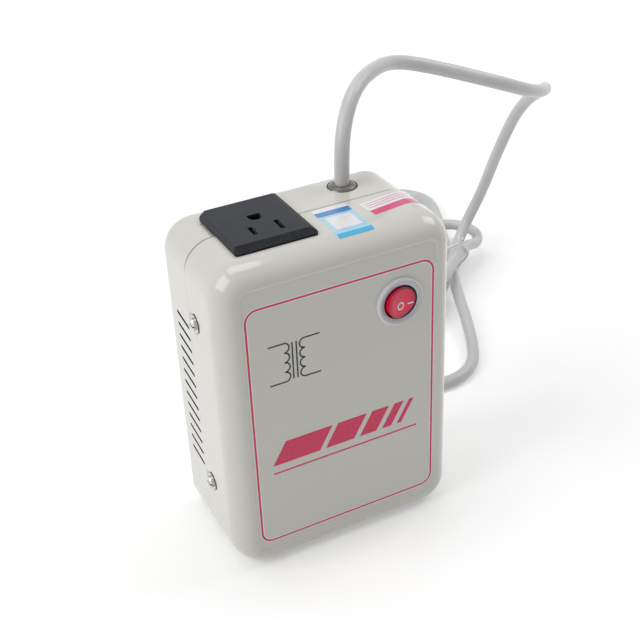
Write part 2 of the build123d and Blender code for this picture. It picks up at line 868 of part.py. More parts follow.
with BuildPart() as core_e_stack:
    with BuildSketch(front_plane(core_back)):
        with Locations((0, core_floor)):
            Rectangle(core_width, core_unit + leg_height, align=(Align.CENTER, Align.MIN))
        with Locations((-3 * core_unit / 2, window_bottom), (3 * core_unit / 2, window_bottom)):
            Rectangle(core_unit, leg_height, align=(Align.CENTER, Align.MIN), mode=Mode.SUBTRACT)
        with Locations(*[place for place in core_hole_places if place[1] < coil_middle]):
            Circle(core_bolt_radius + core_hole_clearance, mode=Mode.SUBTRACT)
    extrude(amount=core_stack)
core_e_stack.part.label = "core_e_stack"
export_step(core_e_stack.part, "parts/core_e_stack.step")

with BuildPart() as core_i_stack:
    with BuildSketch(front_plane(core_back)):
        with Locations((0, window_top)):
            Rectangle(core_width, core_unit, align=(Align.CENTER, Align.MIN))
        with Locations(*[place for place in core_hole_places if place[1] > coil_middle]):
            Circle(core_bolt_radius + core_hole_clearance, mode=Mode.SUBTRACT)
    extrude(amount=core_stack)
core_i_stack.part.label = "core_i_stack"
export_step(core_i_stack.part, "parts/core_i_stack.step")

with BuildPart() as clamp_bars:
    for level in (core_unit / 2, core_height - core_unit / 2):
        with BuildSketch(front_plane(core_front)):
            with Locations((0, core_floor + level)):
                Rectangle(core_width, clamp_height)
            with Locations((-core_hole_x, core_floor + level), (core_hole_x, core_floor + level)):
                Circle(core_bolt_radius + core_hole_clearance, mode=Mode.SUBTRACT)
        extrude(amount=clamp_thickness)
clamp_bars.part.label = "clamp_bars"
export_step(clamp_bars.part, "parts/clamp_bars.step")

# Bolts that hang the core on the rear shell, with their washers, spacers and nuts
bolt_seat_y = rear_depth + core_washer_thickness
clamp_face_y = core_front - clamp_thickness
bolt_length = bolt_seat_y - clamp_face_y + core_nut_thickness + bolt_end

with BuildPart() as core_bolts:
    with BuildSketch(front_plane(bolt_seat_y)):
        with Locations(*core_hole_places):
            Circle(core_bolt_radius)
    extrude(amount=bolt_length)
    with BuildSketch(front_plane(bolt_seat_y)):
        with Locations(*core_hole_places):
            Circle(bolt_head_radius)
    extrude(amount=-bolt_head_height)
    with BuildSketch(front_plane(bolt_seat_y + bolt_head_height)):
        with Locations(*core_hole_places):
            Rectangle(bolt_head_radius, bolt_slot_width)
            Rectangle(bolt_slot_width, bolt_head_radius)
    extrude(amount=bolt_slot_depth, mode=Mode.SUBTRACT)
core_bolts.part.label = "core_bolts"
export_step(core_bolts.part, "parts/core_bolts.step")

with BuildPart() as core_washers:
    with BuildSketch(front_plane(bolt_seat_y)):
        with Locations(*core_hole_places):
            Circle(core_washer_radius)
            Circle(core_bolt_radius + washer_clearance, mode=Mode.SUBTRACT)
    extrude(amount=core_washer_thickness)
core_washers.part.label = "core_washers"
export_step(core_washers.part, "parts/core_washers.step")

with BuildPart() as core_spacers:
    with BuildSketch(front_plane(rear_wall_y)):
        with Locations(*core_hole_places):
            Circle(spacer_radius)
            Circle(core_bolt_radius + washer_clearance, mode=Mode.SUBTRACT)
    extrude(amount=rear_wall_y - core_back)
core_spacers.part.label = "core_spacers"
export_step(core_spacers.part, "parts/core_spacers.step")

with BuildPart() as core_nuts:
    with BuildSketch(front_plane(clamp_face_y)):
        with Locations(*core_hole_places):
            RegularPolygon(core_nut_across_flats / 2, 6, major_radius=False)
            Circle(core_bolt_radius + washer_clearance, mode=Mode.SUBTRACT)
    extrude(amount=core_nut_thickness)
core_nuts.part.label = "core_nuts"
export_step(core_nuts.part, "parts/core_nuts.step")

# Bobbin and its windings, one round the other on the middle leg
leg_half_x = core_unit + bobbin_clearance
leg_half_y = core_stack / 2 + bobbin_clearance
flange_half_x = 2 * core_unit - bobbin_clearance
bobbin_height = leg_height - 2 * bobbin_clearance
bobbin_bottom = window_bottom + bobbin_clearance
bobbin_top = bobbin_bottom + bobbin_height
winding_bottom = bobbin_bottom + flange_thickness + winding_clearance
winding_height = bobbin_height - 2 * (flange_thickness + winding_clearance)


def coil_section(outset, mode=Mode.ADD):
    """Draw the round-cornered section round the middle leg, at this distance from it."""
    with Locations((0, core_y)):
        RectangleRounded(
            2 * (leg_half_x + outset), 2 * (leg_half_y + outset), coil_corner + outset, mode=mode
        )


def coil_layer(outset, build):
    """Make one layer round the bobbin's tube, from this distance and as thick as its build."""
    with BuildSketch(Plane.XY.offset(winding_bottom)) as layer:
        coil_section(outset + build)
        coil_section(outset, Mode.SUBTRACT)
    extrude(layer.sketch, amount=winding_height)


with BuildPart() as bobbin:
    with BuildSketch(Plane.XY.offset(bobbin_bottom)):
        coil_section(bobbin_wall)
    extrude(amount=bobbin_height)
    for level in (bobbin_bottom, bobbin_top - flange_thickness):
        with BuildSketch(Plane.XY.offset(level)):
            with Locations((0, core_y)):
                Rectangle(2 * flange_half_x, core_stack + 2 * flange_reach)
        extrude(amount=flange_thickness)
    with BuildSketch(Plane.XY.offset(bobbin_bottom)):
        with Locations((0, core_y)):
            Rectangle(2 * leg_half_x, 2 * leg_half_y)
    extrude(amount=bobbin_height, mode=Mode.SUBTRACT)
bobbin.part.label = "bobbin"
export_step(bobbin.part, "parts/bobbin.step")

inner_inset = bobbin_wall + winding_clearance
outer_tape_inset = core_unit - bobbin_clearance - winding_side_gap - tape_build
winding_room = outer_tape_inset - inner_inset - tape_build - 3 * winding_clearance
inner_build = winding_room * inner_winding_share
outer_build = winding_room - inner_build
inner_tape_inset = inner_inset + inner_build + winding_clearance
outer_inset = inner_tape_inset + tape_build + winding_clearance

with BuildPart() as inner_winding:
    coil_layer(inner_inset, inner_build)
inner_winding.part.label = "inner_winding"
export_step(inner_winding.part, "parts/inner_winding.step")

with BuildPart() as winding_tape:
    coil_layer(inner_tape_inset, tape_build)
winding_tape.part.label = "winding_tape"
export_step(winding_tape.part, "parts/winding_tape.step")

with BuildPart() as outer_winding:
    coil_layer(outer_inset, outer_build)
outer_winding.part.label = "outer_winding"
export_step(outer_winding.part, "parts/outer_winding.step")

with BuildPart() as outer_tape:
    coil_layer(outer_tape_inset, tape_build)
outer_tape.part.label = "outer_tape"
export_step(outer_tape.part, "parts/outer_tape.step")

thermal_z = core_top + fit_gap + thermal_height / 2

with BuildPart() as thermal_cutout:
    with Locations((0, core_y, thermal_z)):
        Box(thermal_length, thermal_width, thermal_height)
    fillet(thermal_cutout.edges().filter_by(Axis.X), thermal_round)
thermal_cutout.part.label = "thermal_cutout"
export_step(thermal_cutout.part, "parts/thermal_cutout.step")

# Internal leads: from the cord to the switch, the cut-out and the earth contact, and from the
# winding's taps to the outlet
terminal_end_y = barrel_end_y + terminal_reach + fit_gap
switch_tap_x = flange_half_x - switch_tap_inset
thermal_tap_x = thermal_tap_inset - flange_half_x
switch_tap_y = core_front - flange_reach / 2
tap_z = bobbin_top + fit_gap
lead_deck = core_top + lead_bend
thermal_end_x = thermal_length / 2 + fit_gap
tail_z = tail_bottom - fit_gap
lead_start = sheath_bottom - fit_gap


def lead(points):
    """Sweep one insulated lead along its route."""
    sweep_tube(points, bend_radii(points), lead_radius)


with BuildPart() as lead_line_in:
    lead([
        (cord_x - lead_lane, cord_y, lead_start),
        (cord_x - lead_lane, cord_y, switch_z + lead_bend),
        (switch_x, terminal_end_y + 2 * lead_bend, switch_z),
        (switch_x, terminal_end_y, switch_z),
    ])
lead_line_in.part.label = "lead_line_in"
export_step(lead_line_in.part, "parts/lead_line_in.step")

with BuildPart() as lead_neutral_in:
    lead([
        (cord_x + lead_lane, cord_y, lead_start),
        (cord_x + lead_lane, cord_y, (lead_start + thermal_z) / 2),
        (thermal_end_x + 2 * lead_bend, core_y, thermal_z),
        (thermal_end_x, core_y, thermal_z),
    ])
lead_neutral_in.part.label = "lead_neutral_in"
export_step(lead_neutral_in.part, "parts/lead_neutral_in.step")

with BuildPart() as lead_earth:
    lead([
        (cord_x, cord_y + lead_lane, lead_start),
        (cord_x, cord_y + lead_lane, lead_start - 2 * lead_bend),
        ((cord_x + socket_x) / 2, (cord_y + ground_offset) / 2, tail_z - 3 * lead_bend),
        (socket_x, ground_offset, tail_z - 2 * lead_bend),
        (socket_x, ground_offset, tail_z),
    ])
lead_earth.part.label = "lead_earth"
export_step(lead_earth.part, "parts/lead_earth.step")

with BuildPart() as lead_switch_out:
    lead([
        (switch_x - contact_offset, terminal_end_y, switch_z),
        (switch_x - contact_offset, terminal_end_y + lead_bend, switch_z),
        (switch_x - contact_offset - lead_bend, terminal_end_y + lead_bend, (switch_z + lead_deck) / 2),
        (switch_tap_x, switch_tap_y, lead_deck),
        (switch_tap_x, switch_tap_y, tap_z),
    ])
lead_switch_out.part.label = "lead_switch_out"
export_step(lead_switch_out.part, "parts/lead_switch_out.step")

with BuildPart() as lead_cutout:
    lead([
        (-thermal_end_x, core_y, thermal_z),
        (-thermal_end_x - lead_bend, core_y, thermal_z),
        (thermal_tap_x, switch_tap_y, lead_deck),
        (thermal_tap_x, switch_tap_y, tap_z),
    ])
lead_cutout.part.label = "lead_cutout"
export_step(lead_cutout.part, "parts/lead_cutout.step")

with BuildPart() as lead_outlet_line:
    lead([
        (-tap_spacing, switch_tap_y, tap_z),
        (-tap_spacing, switch_tap_y, lead_deck),
        (line_x, blade_row_y, tail_z - 2 * lead_bend),
        (line_x, blade_row_y, tail_z),
    ])
lead_outlet_line.part.label = "lead_outlet_line"
export_step(lead_outlet_line.part, "parts/lead_outlet_line.step")

with BuildPart() as lead_outlet_neutral:
    lead([
        (tap_spacing, switch_tap_y, tap_z),
        (tap_spacing, switch_tap_y, lead_deck),
        (neutral_x, blade_row_y, tail_z - 2 * lead_bend),
        (neutral_x, blade_row_y, tail_z),
    ])
lead_outlet_neutral.part.label = "lead_outlet_neutral"
export_step(lead_outlet_neutral.part, "parts/lead_outlet_neutral.step")

# Route of the mains cord: up out of the bushing, over in an arch and down to the hank on the floor
arch_route = [
    (cord_x, cord_y, bushing_top),
    (cord_x, cord_y, 176),
    (33, 21, 191),
    (43, 30, 200.5),
    (58, 42, 203),
    (82, 61, 198),
    (108, 61, 189),
    (139, 50, 178),
    (174, 62, 161),
    (206, 96, 148),
    (212, 130, 124),
    (209, 147, 87),
    (213, 168, 49),
    (205, 175, 24),
]

# The hank lies about its waist: u runs along it, v across it, and each loop has its own reach,
# radius and swing, so that the loops fan out and only the waist is drawn in
hank_waist = (178.0, 152.0)
hank_angle = 231.3
waist_half = 12.0
low_lane = 3.8
high_lane = 12.2
waist_lift = 1.3
loop_corner_count = 6
loop_corner_turn = 45.0


def on_hank(u, v, z):
    """Give the place of a point that is known along and across the hank."""
    angle = radians(hank_angle)
    x = hank_waist[0] + u * cos(angle) - v * sin(angle)
    y = hank_waist[1] + u * sin(angle) + v * cos(angle)
    return (x, y, z)


def hank_loop(end, reach, radius, swing, z, first_side):
    """Give the six corners of one loop, round a circle at one end of the hank."""
    corner_radius = radius / cos(radians(loop_corner_turn / 2))
    lean = radians(swing)
    points = []
    for corner in range(loop_corner_count):
        turn = radians(loop_corner_turn * ((loop_corner_count - 1) / 2 - corner)) * first_side
        u = (reach + corner_radius * cos(turn)) * end
        v = corner_radius * sin(turn)
        points.append(on_hank(u * cos(lean) - v * sin(lean), u * sin(lean) + v * cos(lean), z))
    return points


def waist_run(v, z, heading):
    """Give the two points of a strand that passes the waist."""
    start = on_hank(-waist_half * heading, v, z + waist_lift)
    end = on_hank(waist_half * heading, v, z + waist_lift)
    return [start, end]


hank_route = [
    on_hank(-14, 1.8, high_lane + waist_lift),
    on_hank(12, 1.4, high_lane + waist_lift),
    *hank_loop(1, 100, 34, -5.5, low_lane, 1),
    *waist_run(-9, low_lane, -1),
    *hank_loop(-1, 102, 27, 28.5, low_lane, -1),
    *waist_run(-0.8, low_lane, 1),
    *hank_loop(1, 68, 23, -26, high_lane, 1),
    *waist_run(-9, high_lane, -1),
    *hank_loop(-1, 36, 19, 6, high_lane, -1),
    on_hank(-12, 9.5, 19.7),
    on_hank(12, 5, 22.5),
]
plug_z = plug_height / 2
tail_route = [
    (146, 114.5, 22.7),
    (106, 104, 22.7),
    (84, 108, 14.5),
    (plug_relief_x, plug_y, plug_z),
]

# Each stretch of the cord ends in the middle of a run, where the next one meets it face to face
cord_route = arch_route + hank_route + tail_route
cord_bends = [0, *bend_radii(cord_route)]
arch_end = len(arch_route) - 3
hank_end = len(arch_route) + len(hank_route) - 1


def run_middle(index):
    """Give the middle of the run that follows this point of the cord's route."""
    return tuple((a + b) / 2 for a, b in zip(cord_route[index], cord_route[index + 1]))


with BuildPart() as cord_arch:
    arch_line = sweep_tube(
        [*cord_route[: arch_end + 1], run_middle(arch_end)],
        cord_bends[1 : arch_end + 1],
        cord_radius,
    )
cord_arch.part.label = "cord_arch"
export_step(cord_arch.part, "parts/cord_arch.step")

with BuildPart() as cord_hank:
    hank_line = sweep_tube(
        [run_middle(arch_end), *cord_route[arch_end + 1 : hank_end + 1], run_middle(hank_end)],
        cord_bends[arch_end + 1 : hank_end + 1],
        cord_radius,
    )
cord_hank.part.label = "cord_hank"
export_step(cord_hank.part, "parts/cord_hank.step")

with BuildPart() as cord_tail:
    tail_line = sweep_tube(
        [run_middle(hank_end), *cord_route[hank_end + 1 :]],
        cord_bends[hank_end + 1 :],
        cord_radius,
    )
cord_tail.part.label = "cord_tail"
export_step(cord_tail.part, "parts/cord_tail.step")

# Check of the cord: bend radii, volume against section times length, and the least gap to itself
gap_step = 1.5
print("cord bend radii", [round(radius) for radius in cord_bends[1:]])
cord_section = pi * cord_radius**2
for label, tube, line in (
    ("arch", cord_arch, arch_line),
    ("hank", cord_hank, hank_line),
    ("tail", cord_tail, tail_line),
):
    volume_share = tube.part.volume / (cord_section * line.length)
    print(label, "length", round(line.length, 1), "volume share", volume_share)
samples = []
for line in (arch_line, hank_line, tail_line):
    count = int(line.length / gap_step)
    samples.extend(tuple(line @ (step / count)) for step in range(count))
skipped = int(3 * cord_diameter / gap_step)
least_gap = min(
    dist(samples[here], samples[there]) - cord_diameter
    for here in range(len(samples))
    for there in range(here + skipped, len(samples))
)
cord_length = arch_line.length + hank_line.length + tail_line.length
print("cord length", round(cord_length), "least gap", least_gap)

# Twist tie round the hank's waist, its two ends standing up side by side
tie_radius = 0.6
tie_bend = 4.2
tie_end_bend = 2.2
tie_route = [
    on_hank(0.8, 10.2, 30.5),
    on_hank(0.8, 12.8, 22.2),
    on_hank(0.3, 2.1, 0.65),
    on_hank(0, -13.6, 0.65),
    on_hank(-0.3, -13.6, 16.6),
    on_hank(-0.8, 8.0, 26.7),
    on_hank(-0.8, 8.6, 30.5),
]

with BuildPart() as twist_tie:
    sweep_tube(tie_route, [tie_end_bend, tie_bend, tie_bend, tie_bend, tie_end_bend], tie_radius)
twist_tie.part.label = "twist_tie"
export_step(twist_tie.part, "parts/twist_tie.step")

# Plug: a moulded body that widens from its strain relief to the pin face
pin_places = {
    "line": (pin_pitch / 2, pin_lift, pin_lean),
    "neutral": (-pin_pitch / 2, pin_lift, -pin_lean),
    "earth": (0, -earth_pin_drop, 0),
}


def plug_plane(x):
    """Give the YZ plane at this place along the plug, centred on its axis."""
    return Plane(origin=(x, plug_y, plug_z), x_dir=(0, 1, 0), z_dir=(1, 0, 0))


def pin_section(name, clearance=0):
    """Draw one flat pin's section on a plug plane."""
    across, up, lean = pin_places[name]
    with Locations(Location((across, up), lean)):
        Rectangle(pin_thickness + 2 * clearance, pin_width + 2 * clearance)


with BuildPart() as plug_body:
    with BuildSketch(plug_plane(plug_back_x)):
        RectangleRounded(plug_back_width, plug_back_height, plug_back_corner)
    with BuildSketch(plug_plane(plug_shoulder_x)):
        RectangleRounded(plug_width, plug_height, plug_corner)
    loft()
    with BuildSketch(plug_plane(plug_shoulder_x)):
        RectangleRounded(plug_width, plug_height, plug_corner)
    extrude(amount=plug_face_x - plug_shoulder_x)
    fillet(plug_body.faces().sort_by(Axis.X)[0].edges(), plug_edge)
    with BuildSketch(plug_plane(plug_face_x)):
        for name in pin_places:
            pin_section(name, pin_clearance)
    extrude(amount=pin_root, mode=Mode.SUBTRACT)
plug_body.part.label = "plug_body"
export_step(plug_body.part, "parts/plug_body.step")

with BuildPart() as plug_strain_relief:
    with BuildSketch(plug_plane(plug_back_x)):
        Circle(relief_root_radius)
    with BuildSketch(plug_plane(plug_relief_x)):
        Circle(relief_tip_radius)
    loft()
    for groove in range(relief_rib_count):
        groove_x = plug_back_x + relief_groove_pitch * (groove + 1)
        groove_share = (groove_x - plug_back_x) / (plug_relief_x - plug_back_x)
        groove_floor = relief_root_radius + groove_share * (relief_tip_radius - relief_root_radius)
        with BuildSketch(plug_plane(groove_x)):
            Circle(relief_root_radius + overrun)
            Circle(groove_floor - relief_groove_depth, mode=Mode.SUBTRACT)
        extrude(amount=relief_groove / 2, both=True, mode=Mode.SUBTRACT)
plug_strain_relief.part.label = "plug_strain_relief"
export_step(plug_strain_relief.part, "parts/plug_strain_relief.step")

with BuildPart() as plug_line_pin:
    with BuildSketch(plug_plane(plug_face_x + pin_root)):
        pin_section("line")
    extrude(amount=-pin_root - power_pin_length)
plug_line_pin.part.label = "plug_line_pin"
export_step(plug_line_pin.part, "parts/plug_line_pin.step")

with BuildPart() as plug_neutral_pin:
    with BuildSketch(plug_plane(plug_face_x + pin_root)):
        pin_section("neutral")
    extrude(amount=-pin_root - power_pin_length)
plug_neutral_pin.part.label = "plug_neutral_pin"
export_step(plug_neutral_pin.part, "parts/plug_neutral_pin.step")

with BuildPart() as plug_earth_pin:
    with BuildSketch(plug_plane(plug_face_x + pin_root)):
        pin_section("earth")
    extrude(amount=-pin_root - earth_pin_length)
plug_earth_pin.part.label = "plug_earth_pin"
export_step(plug_earth_pin.part, "parts/plug_earth_pin.step")
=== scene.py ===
import json
from math import cos, hypot, pi, radians, sin, sqrt, tan

import bpy
from mathutils import Matrix, Vector


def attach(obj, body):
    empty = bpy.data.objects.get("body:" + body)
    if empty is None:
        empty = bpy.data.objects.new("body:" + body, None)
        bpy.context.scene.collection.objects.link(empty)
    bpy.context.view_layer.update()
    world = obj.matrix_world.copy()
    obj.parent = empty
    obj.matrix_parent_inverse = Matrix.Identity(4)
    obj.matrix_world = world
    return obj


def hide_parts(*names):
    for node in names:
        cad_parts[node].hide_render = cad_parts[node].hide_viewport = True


# Looks of a travel voltage converter: a powder-coated steel box with an outlet plate on its top, a red
# rocker switch on its front and a grey mains cord. All lengths are in metres, worked out from
# millimetres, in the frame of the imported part.
mm = 0.001
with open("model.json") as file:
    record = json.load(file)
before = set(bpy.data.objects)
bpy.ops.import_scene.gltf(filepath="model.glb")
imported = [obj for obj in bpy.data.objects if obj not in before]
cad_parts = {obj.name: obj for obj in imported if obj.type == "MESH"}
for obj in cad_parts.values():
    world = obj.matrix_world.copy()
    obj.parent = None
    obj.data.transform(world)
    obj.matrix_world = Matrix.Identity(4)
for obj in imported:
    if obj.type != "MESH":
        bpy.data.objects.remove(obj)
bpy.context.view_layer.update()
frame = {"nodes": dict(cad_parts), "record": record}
nodes = frame["nodes"]

# Places on the case that the finishes and the dressing line up with, in millimetres
side_x, rear_side_x = 58.0, 57.4
case_top, case_corner = 162.0, 14.5
panel_y = -34.8
rim_width, rim_depth, rim_root_y = 9.0, 12.5, -23.0
switch_x, switch_z = 28.7, 125.65
cord_x, cord_y, bushing_top = 28.5, 16.5, 160.6
cord_diameter = 7.2
screw_y, screw_heights = -5.85, (37.1, 125.8)

# The rows of vent slits in the two sides of the rear shell
slit_middle_y, slit_middle_z = 10.95, 80.31
slit_count, slit_pitch = 13, 6.44
slit_width, slit_straight = 1.5, 13.0
slit_slant = radians(9.1)


def linear(code):
    """Turn an sRGB hex colour into Blender's linear colour."""
    shares = [int(code[place : place + 2], 16) / 255 for place in (1, 3, 5)]
    return (*[s / 12.92 if s <= 0.04045 else ((s + 0.055) / 1.055) ** 2.4 for s in shares], 1.0)


# ---- Materials -----------------------------------------------------------------------------------
# Looks that several finishes share: a satin skin, bare metal, and the gloss and grain of soft PVC
gloss = {"Coat Weight": 0.4, "Coat Roughness": 0.15}
metal = {"Metallic": 1.0}
pvc = ((0.3, 0.42), 0.6, 0.01)


def add(tree, kind, inputs=None, **settings):
    """Add one node with its settings, and link or set each of its inputs."""
    node = tree.nodes.new(kind)
    for name, value in settings.items():
        setattr(node, name, value)
    for name, source in (inputs or {}).items():
        if isinstance(source, bpy.types.NodeSocket):
            tree.links.new(source, node.inputs[name])
        else:
            node.inputs[name].default_value = source
    return node


def begin(name, **looks):
    """Start a material with its fixed looks; points are placed in the part's frame, in metres."""
    material = bpy.data.materials.new(name)
    material.use_nodes = True
    tree = material.node_tree
    tree.nodes.clear()
    shader = add(tree, "ShaderNodeBsdfPrincipled", looks)
    add(tree, "ShaderNodeOutputMaterial", {"Surface": shader.outputs[0]})
    place = add(tree, "ShaderNodeTexCoord").outputs["Object"]
    return material, tree, shader, place


def dress(tree, shader, colour, drift, rough, height, depth):
    """Give a surface its colour, its range of gloss and its relief in millimetres."""
    tree.links.new(colour, shader.inputs["Base Color"])
    # Noise keeps mostly between 0.3 and 0.7, which is spread over the whole range of gloss
    gloss_range = {"Value": drift, "From Min": 0.3, "From Max": 0.7, "To Min": rough[0], "To Max": rough[1]}
    roughness = add(tree, "ShaderNodeMapRange", gloss_range).outputs[0]
    tree.links.new(roughness, shader.inputs["Roughness"])
    bump = add(tree, "ShaderNodeBump", {"Height": height, "Distance": depth * mm})
    tree.links.new(bump.outputs[0], shader.inputs["Normal"])


def patched(tree, place, low, high, patch, detail=3.0):
    """Give a drift in patches of a size in millimetres, and the colour that drifts with it."""
    patches = {"Vector": place, "Scale": 1 / (patch * mm), "Detail": detail}
    drift = add(tree, "ShaderNodeTexNoise", patches).outputs["Fac"]
    shades = {0: drift, 6: linear(low), 7: linear(high)}
    return drift, add(tree, "ShaderNodeMix", shades, data_type="RGBA").outputs[2]


def finish(name, low, high, patch, rough, grain, depth, **looks):
    """A finish whose colour and gloss drift in patches, with a fine grain, sizes in millimetres."""
    material, tree, shader, place = begin(name, **looks)
    drift, colour = patched(tree, place, low, high, patch)
    grains = {"Vector": place, "Scale": 1 / (grain * mm), "Detail": 2.0}
    height = add(tree, "ShaderNodeTexNoise", grains).outputs["Fac"]
    dress(tree, shader, colour, drift, rough, height, depth)
    return material


def banded(name, low, high, pitch, axis, rough, depth, **looks):
    """A finish of even bands across one axis, such as turns of wire or stacked sheets."""
    material, tree, shader, place = begin(name, **looks)
    # A wave at scale 1 repeats every tenth of two pi
    stripes = {"Vector": place, "Scale": pi / 10 / (pitch * mm), "Distortion": 0.3, "Detail": 1.0}
    bands = add(tree, "ShaderNodeTexWave", stripes, bands_direction=axis).outputs["Fac"]
    shades = {0: bands, 6: linear(low), 7: linear(high)}
    colour = add(tree, "ShaderNodeMix", shades, data_type="RGBA").outputs[2]
    drift = add(tree, "ShaderNodeTexNoise", {"Vector": place, "Scale": 1 / (6 * mm)}).outputs["Fac"]
    dress(tree, shader, colour, drift, rough, bands, depth)
    return material


def where_all(tree, limits):
    """Give 1 where every limit holds and 0 elsewhere; a limit is a comparison and its inputs."""
    holds = [add(tree, "ShaderNodeMath", inputs, operation=kind).outputs[0] for kind, inputs in limits]
    share = holds[0]
    for other in holds[1:]:
        share = add(tree, "ShaderNodeMath", {0: share, 1: other}, operation="MULTIPLY").outputs[0]
    return share


def reach_from(tree, place, plane, middle):
    """Give each point's distance in a plane from a middle in millimetres; plane is 1 for its axes."""
    flat = add(tree, "ShaderNodeVectorMath", {0: place, 1: plane}, operation="MULTIPLY").outputs[0]
    reach = {0: flat, 1: [length * mm for length in middle]}
    return add(tree, "ShaderNodeVectorMath", reach, operation="DISTANCE").outputs["Value"]


# Powder coat on pressed steel: a glossy, warm light grey with a faint orange peel of about 2 mm.
# Painted shade turns the slits' cut edges and a band round each slit near black, and a thin line of
# painted shade marks where the shells part.
def case_coat():
    looks = {"Coat Weight": 1.0, "Coat Roughness": 0.03, "Specular IOR Level": 0.25}
    material, tree, shader, place = begin("warm_grey_powder_coat", **looks)
    drift, coat = patched(tree, place, "#CECCC4", "#D2D0C9", 45, 4.0)
    x, y, z = add(tree, "ShaderNodeSeparateXYZ", {"Vector": place}).outputs

    # Painted shade at the parting: a dark line, full just behind the front shell's edge, that then fades
    # out
    front_edge, shade_start, shade_end, shade_strength = -0.02, 1.1, 2.3, 0.9
    parting_shade_fade = {"Value": y, "From Min": shade_start * mm, "From Max": shade_end * mm}
    parting_shade_fade = add(tree, "ShaderNodeMapRange", {**parting_shade_fade, "To Min": shade_strength, "To Max": 0.0}).outputs[0]
    on_rear = add(tree, "ShaderNodeMath", {0: y, 1: front_edge * mm}, operation="GREATER_THAN").outputs[0]
    line = add(tree, "ShaderNodeMath", {0: parting_shade_fade, 1: on_rear}, operation="MULTIPLY").outputs[0]
    parting_shade_mix = {0: line, 6: coat, 7: linear("#57554F")}
    coat_with_parting_shade = add(tree, "ShaderNodeMix", parting_shade_mix, data_type="RGBA").outputs[2]

    # Painted shade in the slits: the cut edges of the sheet, from just under the outer face of the rear
    # shell, are painted near black
    skin, cut_depth, field_half_width, field_half_height = 0.04, 1.2, 9.0, 42.0
    out = add(tree, "ShaderNodeMath", {0: x}, operation="ABSOLUTE").outputs[0]
    cut_shade_limits = [
        ("LESS_THAN", {0: out, 1: (rear_side_x - skin) * mm}),
        ("GREATER_THAN", {0: out, 1: (rear_side_x - cut_depth) * mm}),
        ("COMPARE", {0: y, 1: slit_middle_y * mm, 2: field_half_width * mm}),
        ("COMPARE", {0: z, 1: slit_middle_z * mm, 2: field_half_height * mm}),
    ]
    painted_cut_edge_shade = where_all(tree, cut_shade_limits)

    # The height over the slanted line of the middle slit, and over that of the nearest slit
    along = add(tree, "ShaderNodeMath", {0: y, 1: slit_middle_y * mm}, operation="SUBTRACT").outputs[0]
    rise = add(tree, "ShaderNodeMath", {0: along, 1: tan(slit_slant)}, operation="MULTIPLY").outputs[0]
    level = add(tree, "ShaderNodeMath", {0: z, 1: rise}, operation="SUBTRACT").outputs[0]
    level = add(tree, "ShaderNodeMath", {0: level, 1: slit_middle_z * mm}, operation="SUBTRACT").outputs[0]
    nearest = {0: level, 1: slit_pitch / 2 * mm, 2: -slit_pitch / 2 * mm}
    from_row = add(tree, "ShaderNodeMath", nearest, operation="WRAP").outputs[0]

    # Painted shade round each slit: a near-black band on the outer face along its two long lips
    lip, face_band, row_margin = 0.22, 0.1, 0.1
    lip_shade_limits = [
        ("COMPARE", {0: from_row, 1: 0.0, 2: (slit_width / 2 + lip) * mm}),
        ("COMPARE", {0: along, 1: 0.0, 2: slit_straight / 2 * mm}),
        ("COMPARE", {0: level, 1: 0.0, 2: (slit_count / 2 - row_margin) * slit_pitch * mm}),
        ("GREATER_THAN", {0: out, 1: (rear_side_x - face_band) * mm}),
    ]
    painted_lip_shade = where_all(tree, lip_shade_limits)
    # Both marks of painted slit shade turn the coat near black
    painted_slit_shade = add(tree, "ShaderNodeMath", {0: painted_cut_edge_shade, 1: painted_lip_shade}, operation="MAXIMUM").outputs[0]
    slit_shade_mix = {0: painted_slit_shade, 6: coat_with_parting_shade, 7: linear("#050505")}
    colour = add(tree, "ShaderNodeMix", slit_shade_mix, data_type="RGBA").outputs[2]
    peel = {"Vector": place, "Scale": 1 / (2.0 * mm), "Detail": 1.0, "Roughness": 0.4}
    height = add(tree, "ShaderNodeTexNoise", peel).outputs["Fac"]
    dress(tree, shader, colour, drift, (0.3, 0.38), height, 0.006)
    return material


# Matt black nylon: smooth on the flat top, coarse spark-eroded grain on the bevel to the front
def outlet_nylon():
    material, tree, shader, place = begin("matt_black_nylon", **{"Specular IOR Level": 0.1})
    facing = add(tree, "ShaderNodeNewGeometry").outputs["Normal"]
    to_front = {0: facing, 1: (0.0, -1.0, 0.0)}
    front = add(tree, "ShaderNodeVectorMath", to_front, operation="DOT_PRODUCT").outputs["Value"]
    bevel = add(tree, "ShaderNodeMath", {0: front, 1: 0.1}, operation="GREATER_THAN").outputs[0]
    sparks = {"Vector": place, "Scale": 1 / (0.75 * mm), "Detail": 3.0, "Roughness": 0.65}
    grain = add(tree, "ShaderNodeTexNoise", sparks).outputs["Fac"]
    speckle = {"Value": grain, "From Min": 0.42, "From Max": 0.62}
    speckle = add(tree, "ShaderNodeMapRange", speckle).outputs[0]
    pits = {0: speckle, 6: linear("#030304"), 7: linear("#2A2C31")}
    rough_black = add(tree, "ShaderNodeMix", pits, data_type="RGBA").outputs[2]
    _, smooth_black = patched(tree, place, "#36383C", "#3E4045", 9)
    both = {0: bevel, 6: smooth_black, 7: rough_black}
    colour = add(tree, "ShaderNodeMix", both, data_type="RGBA").outputs[2]
    fine = {"Vector": place, "Scale": 1 / (0.35 * mm), "Detail": 2.0}
    fine = add(tree, "ShaderNodeTexNoise", fine).outputs["Fac"]
    # The top's fine grain is 0.15 as deep as the bevel's
    shallow = add(tree, "ShaderNodeMath", {0: fine, 1: 0.15}, operation="MULTIPLY").outputs[0]
    height = add(tree, "ShaderNodeMix", {0: bevel, 2: shallow, 3: grain}).outputs[0]
    dress(tree, shader, colour, grain, (0.42, 0.6), height, 0.12)
    return material
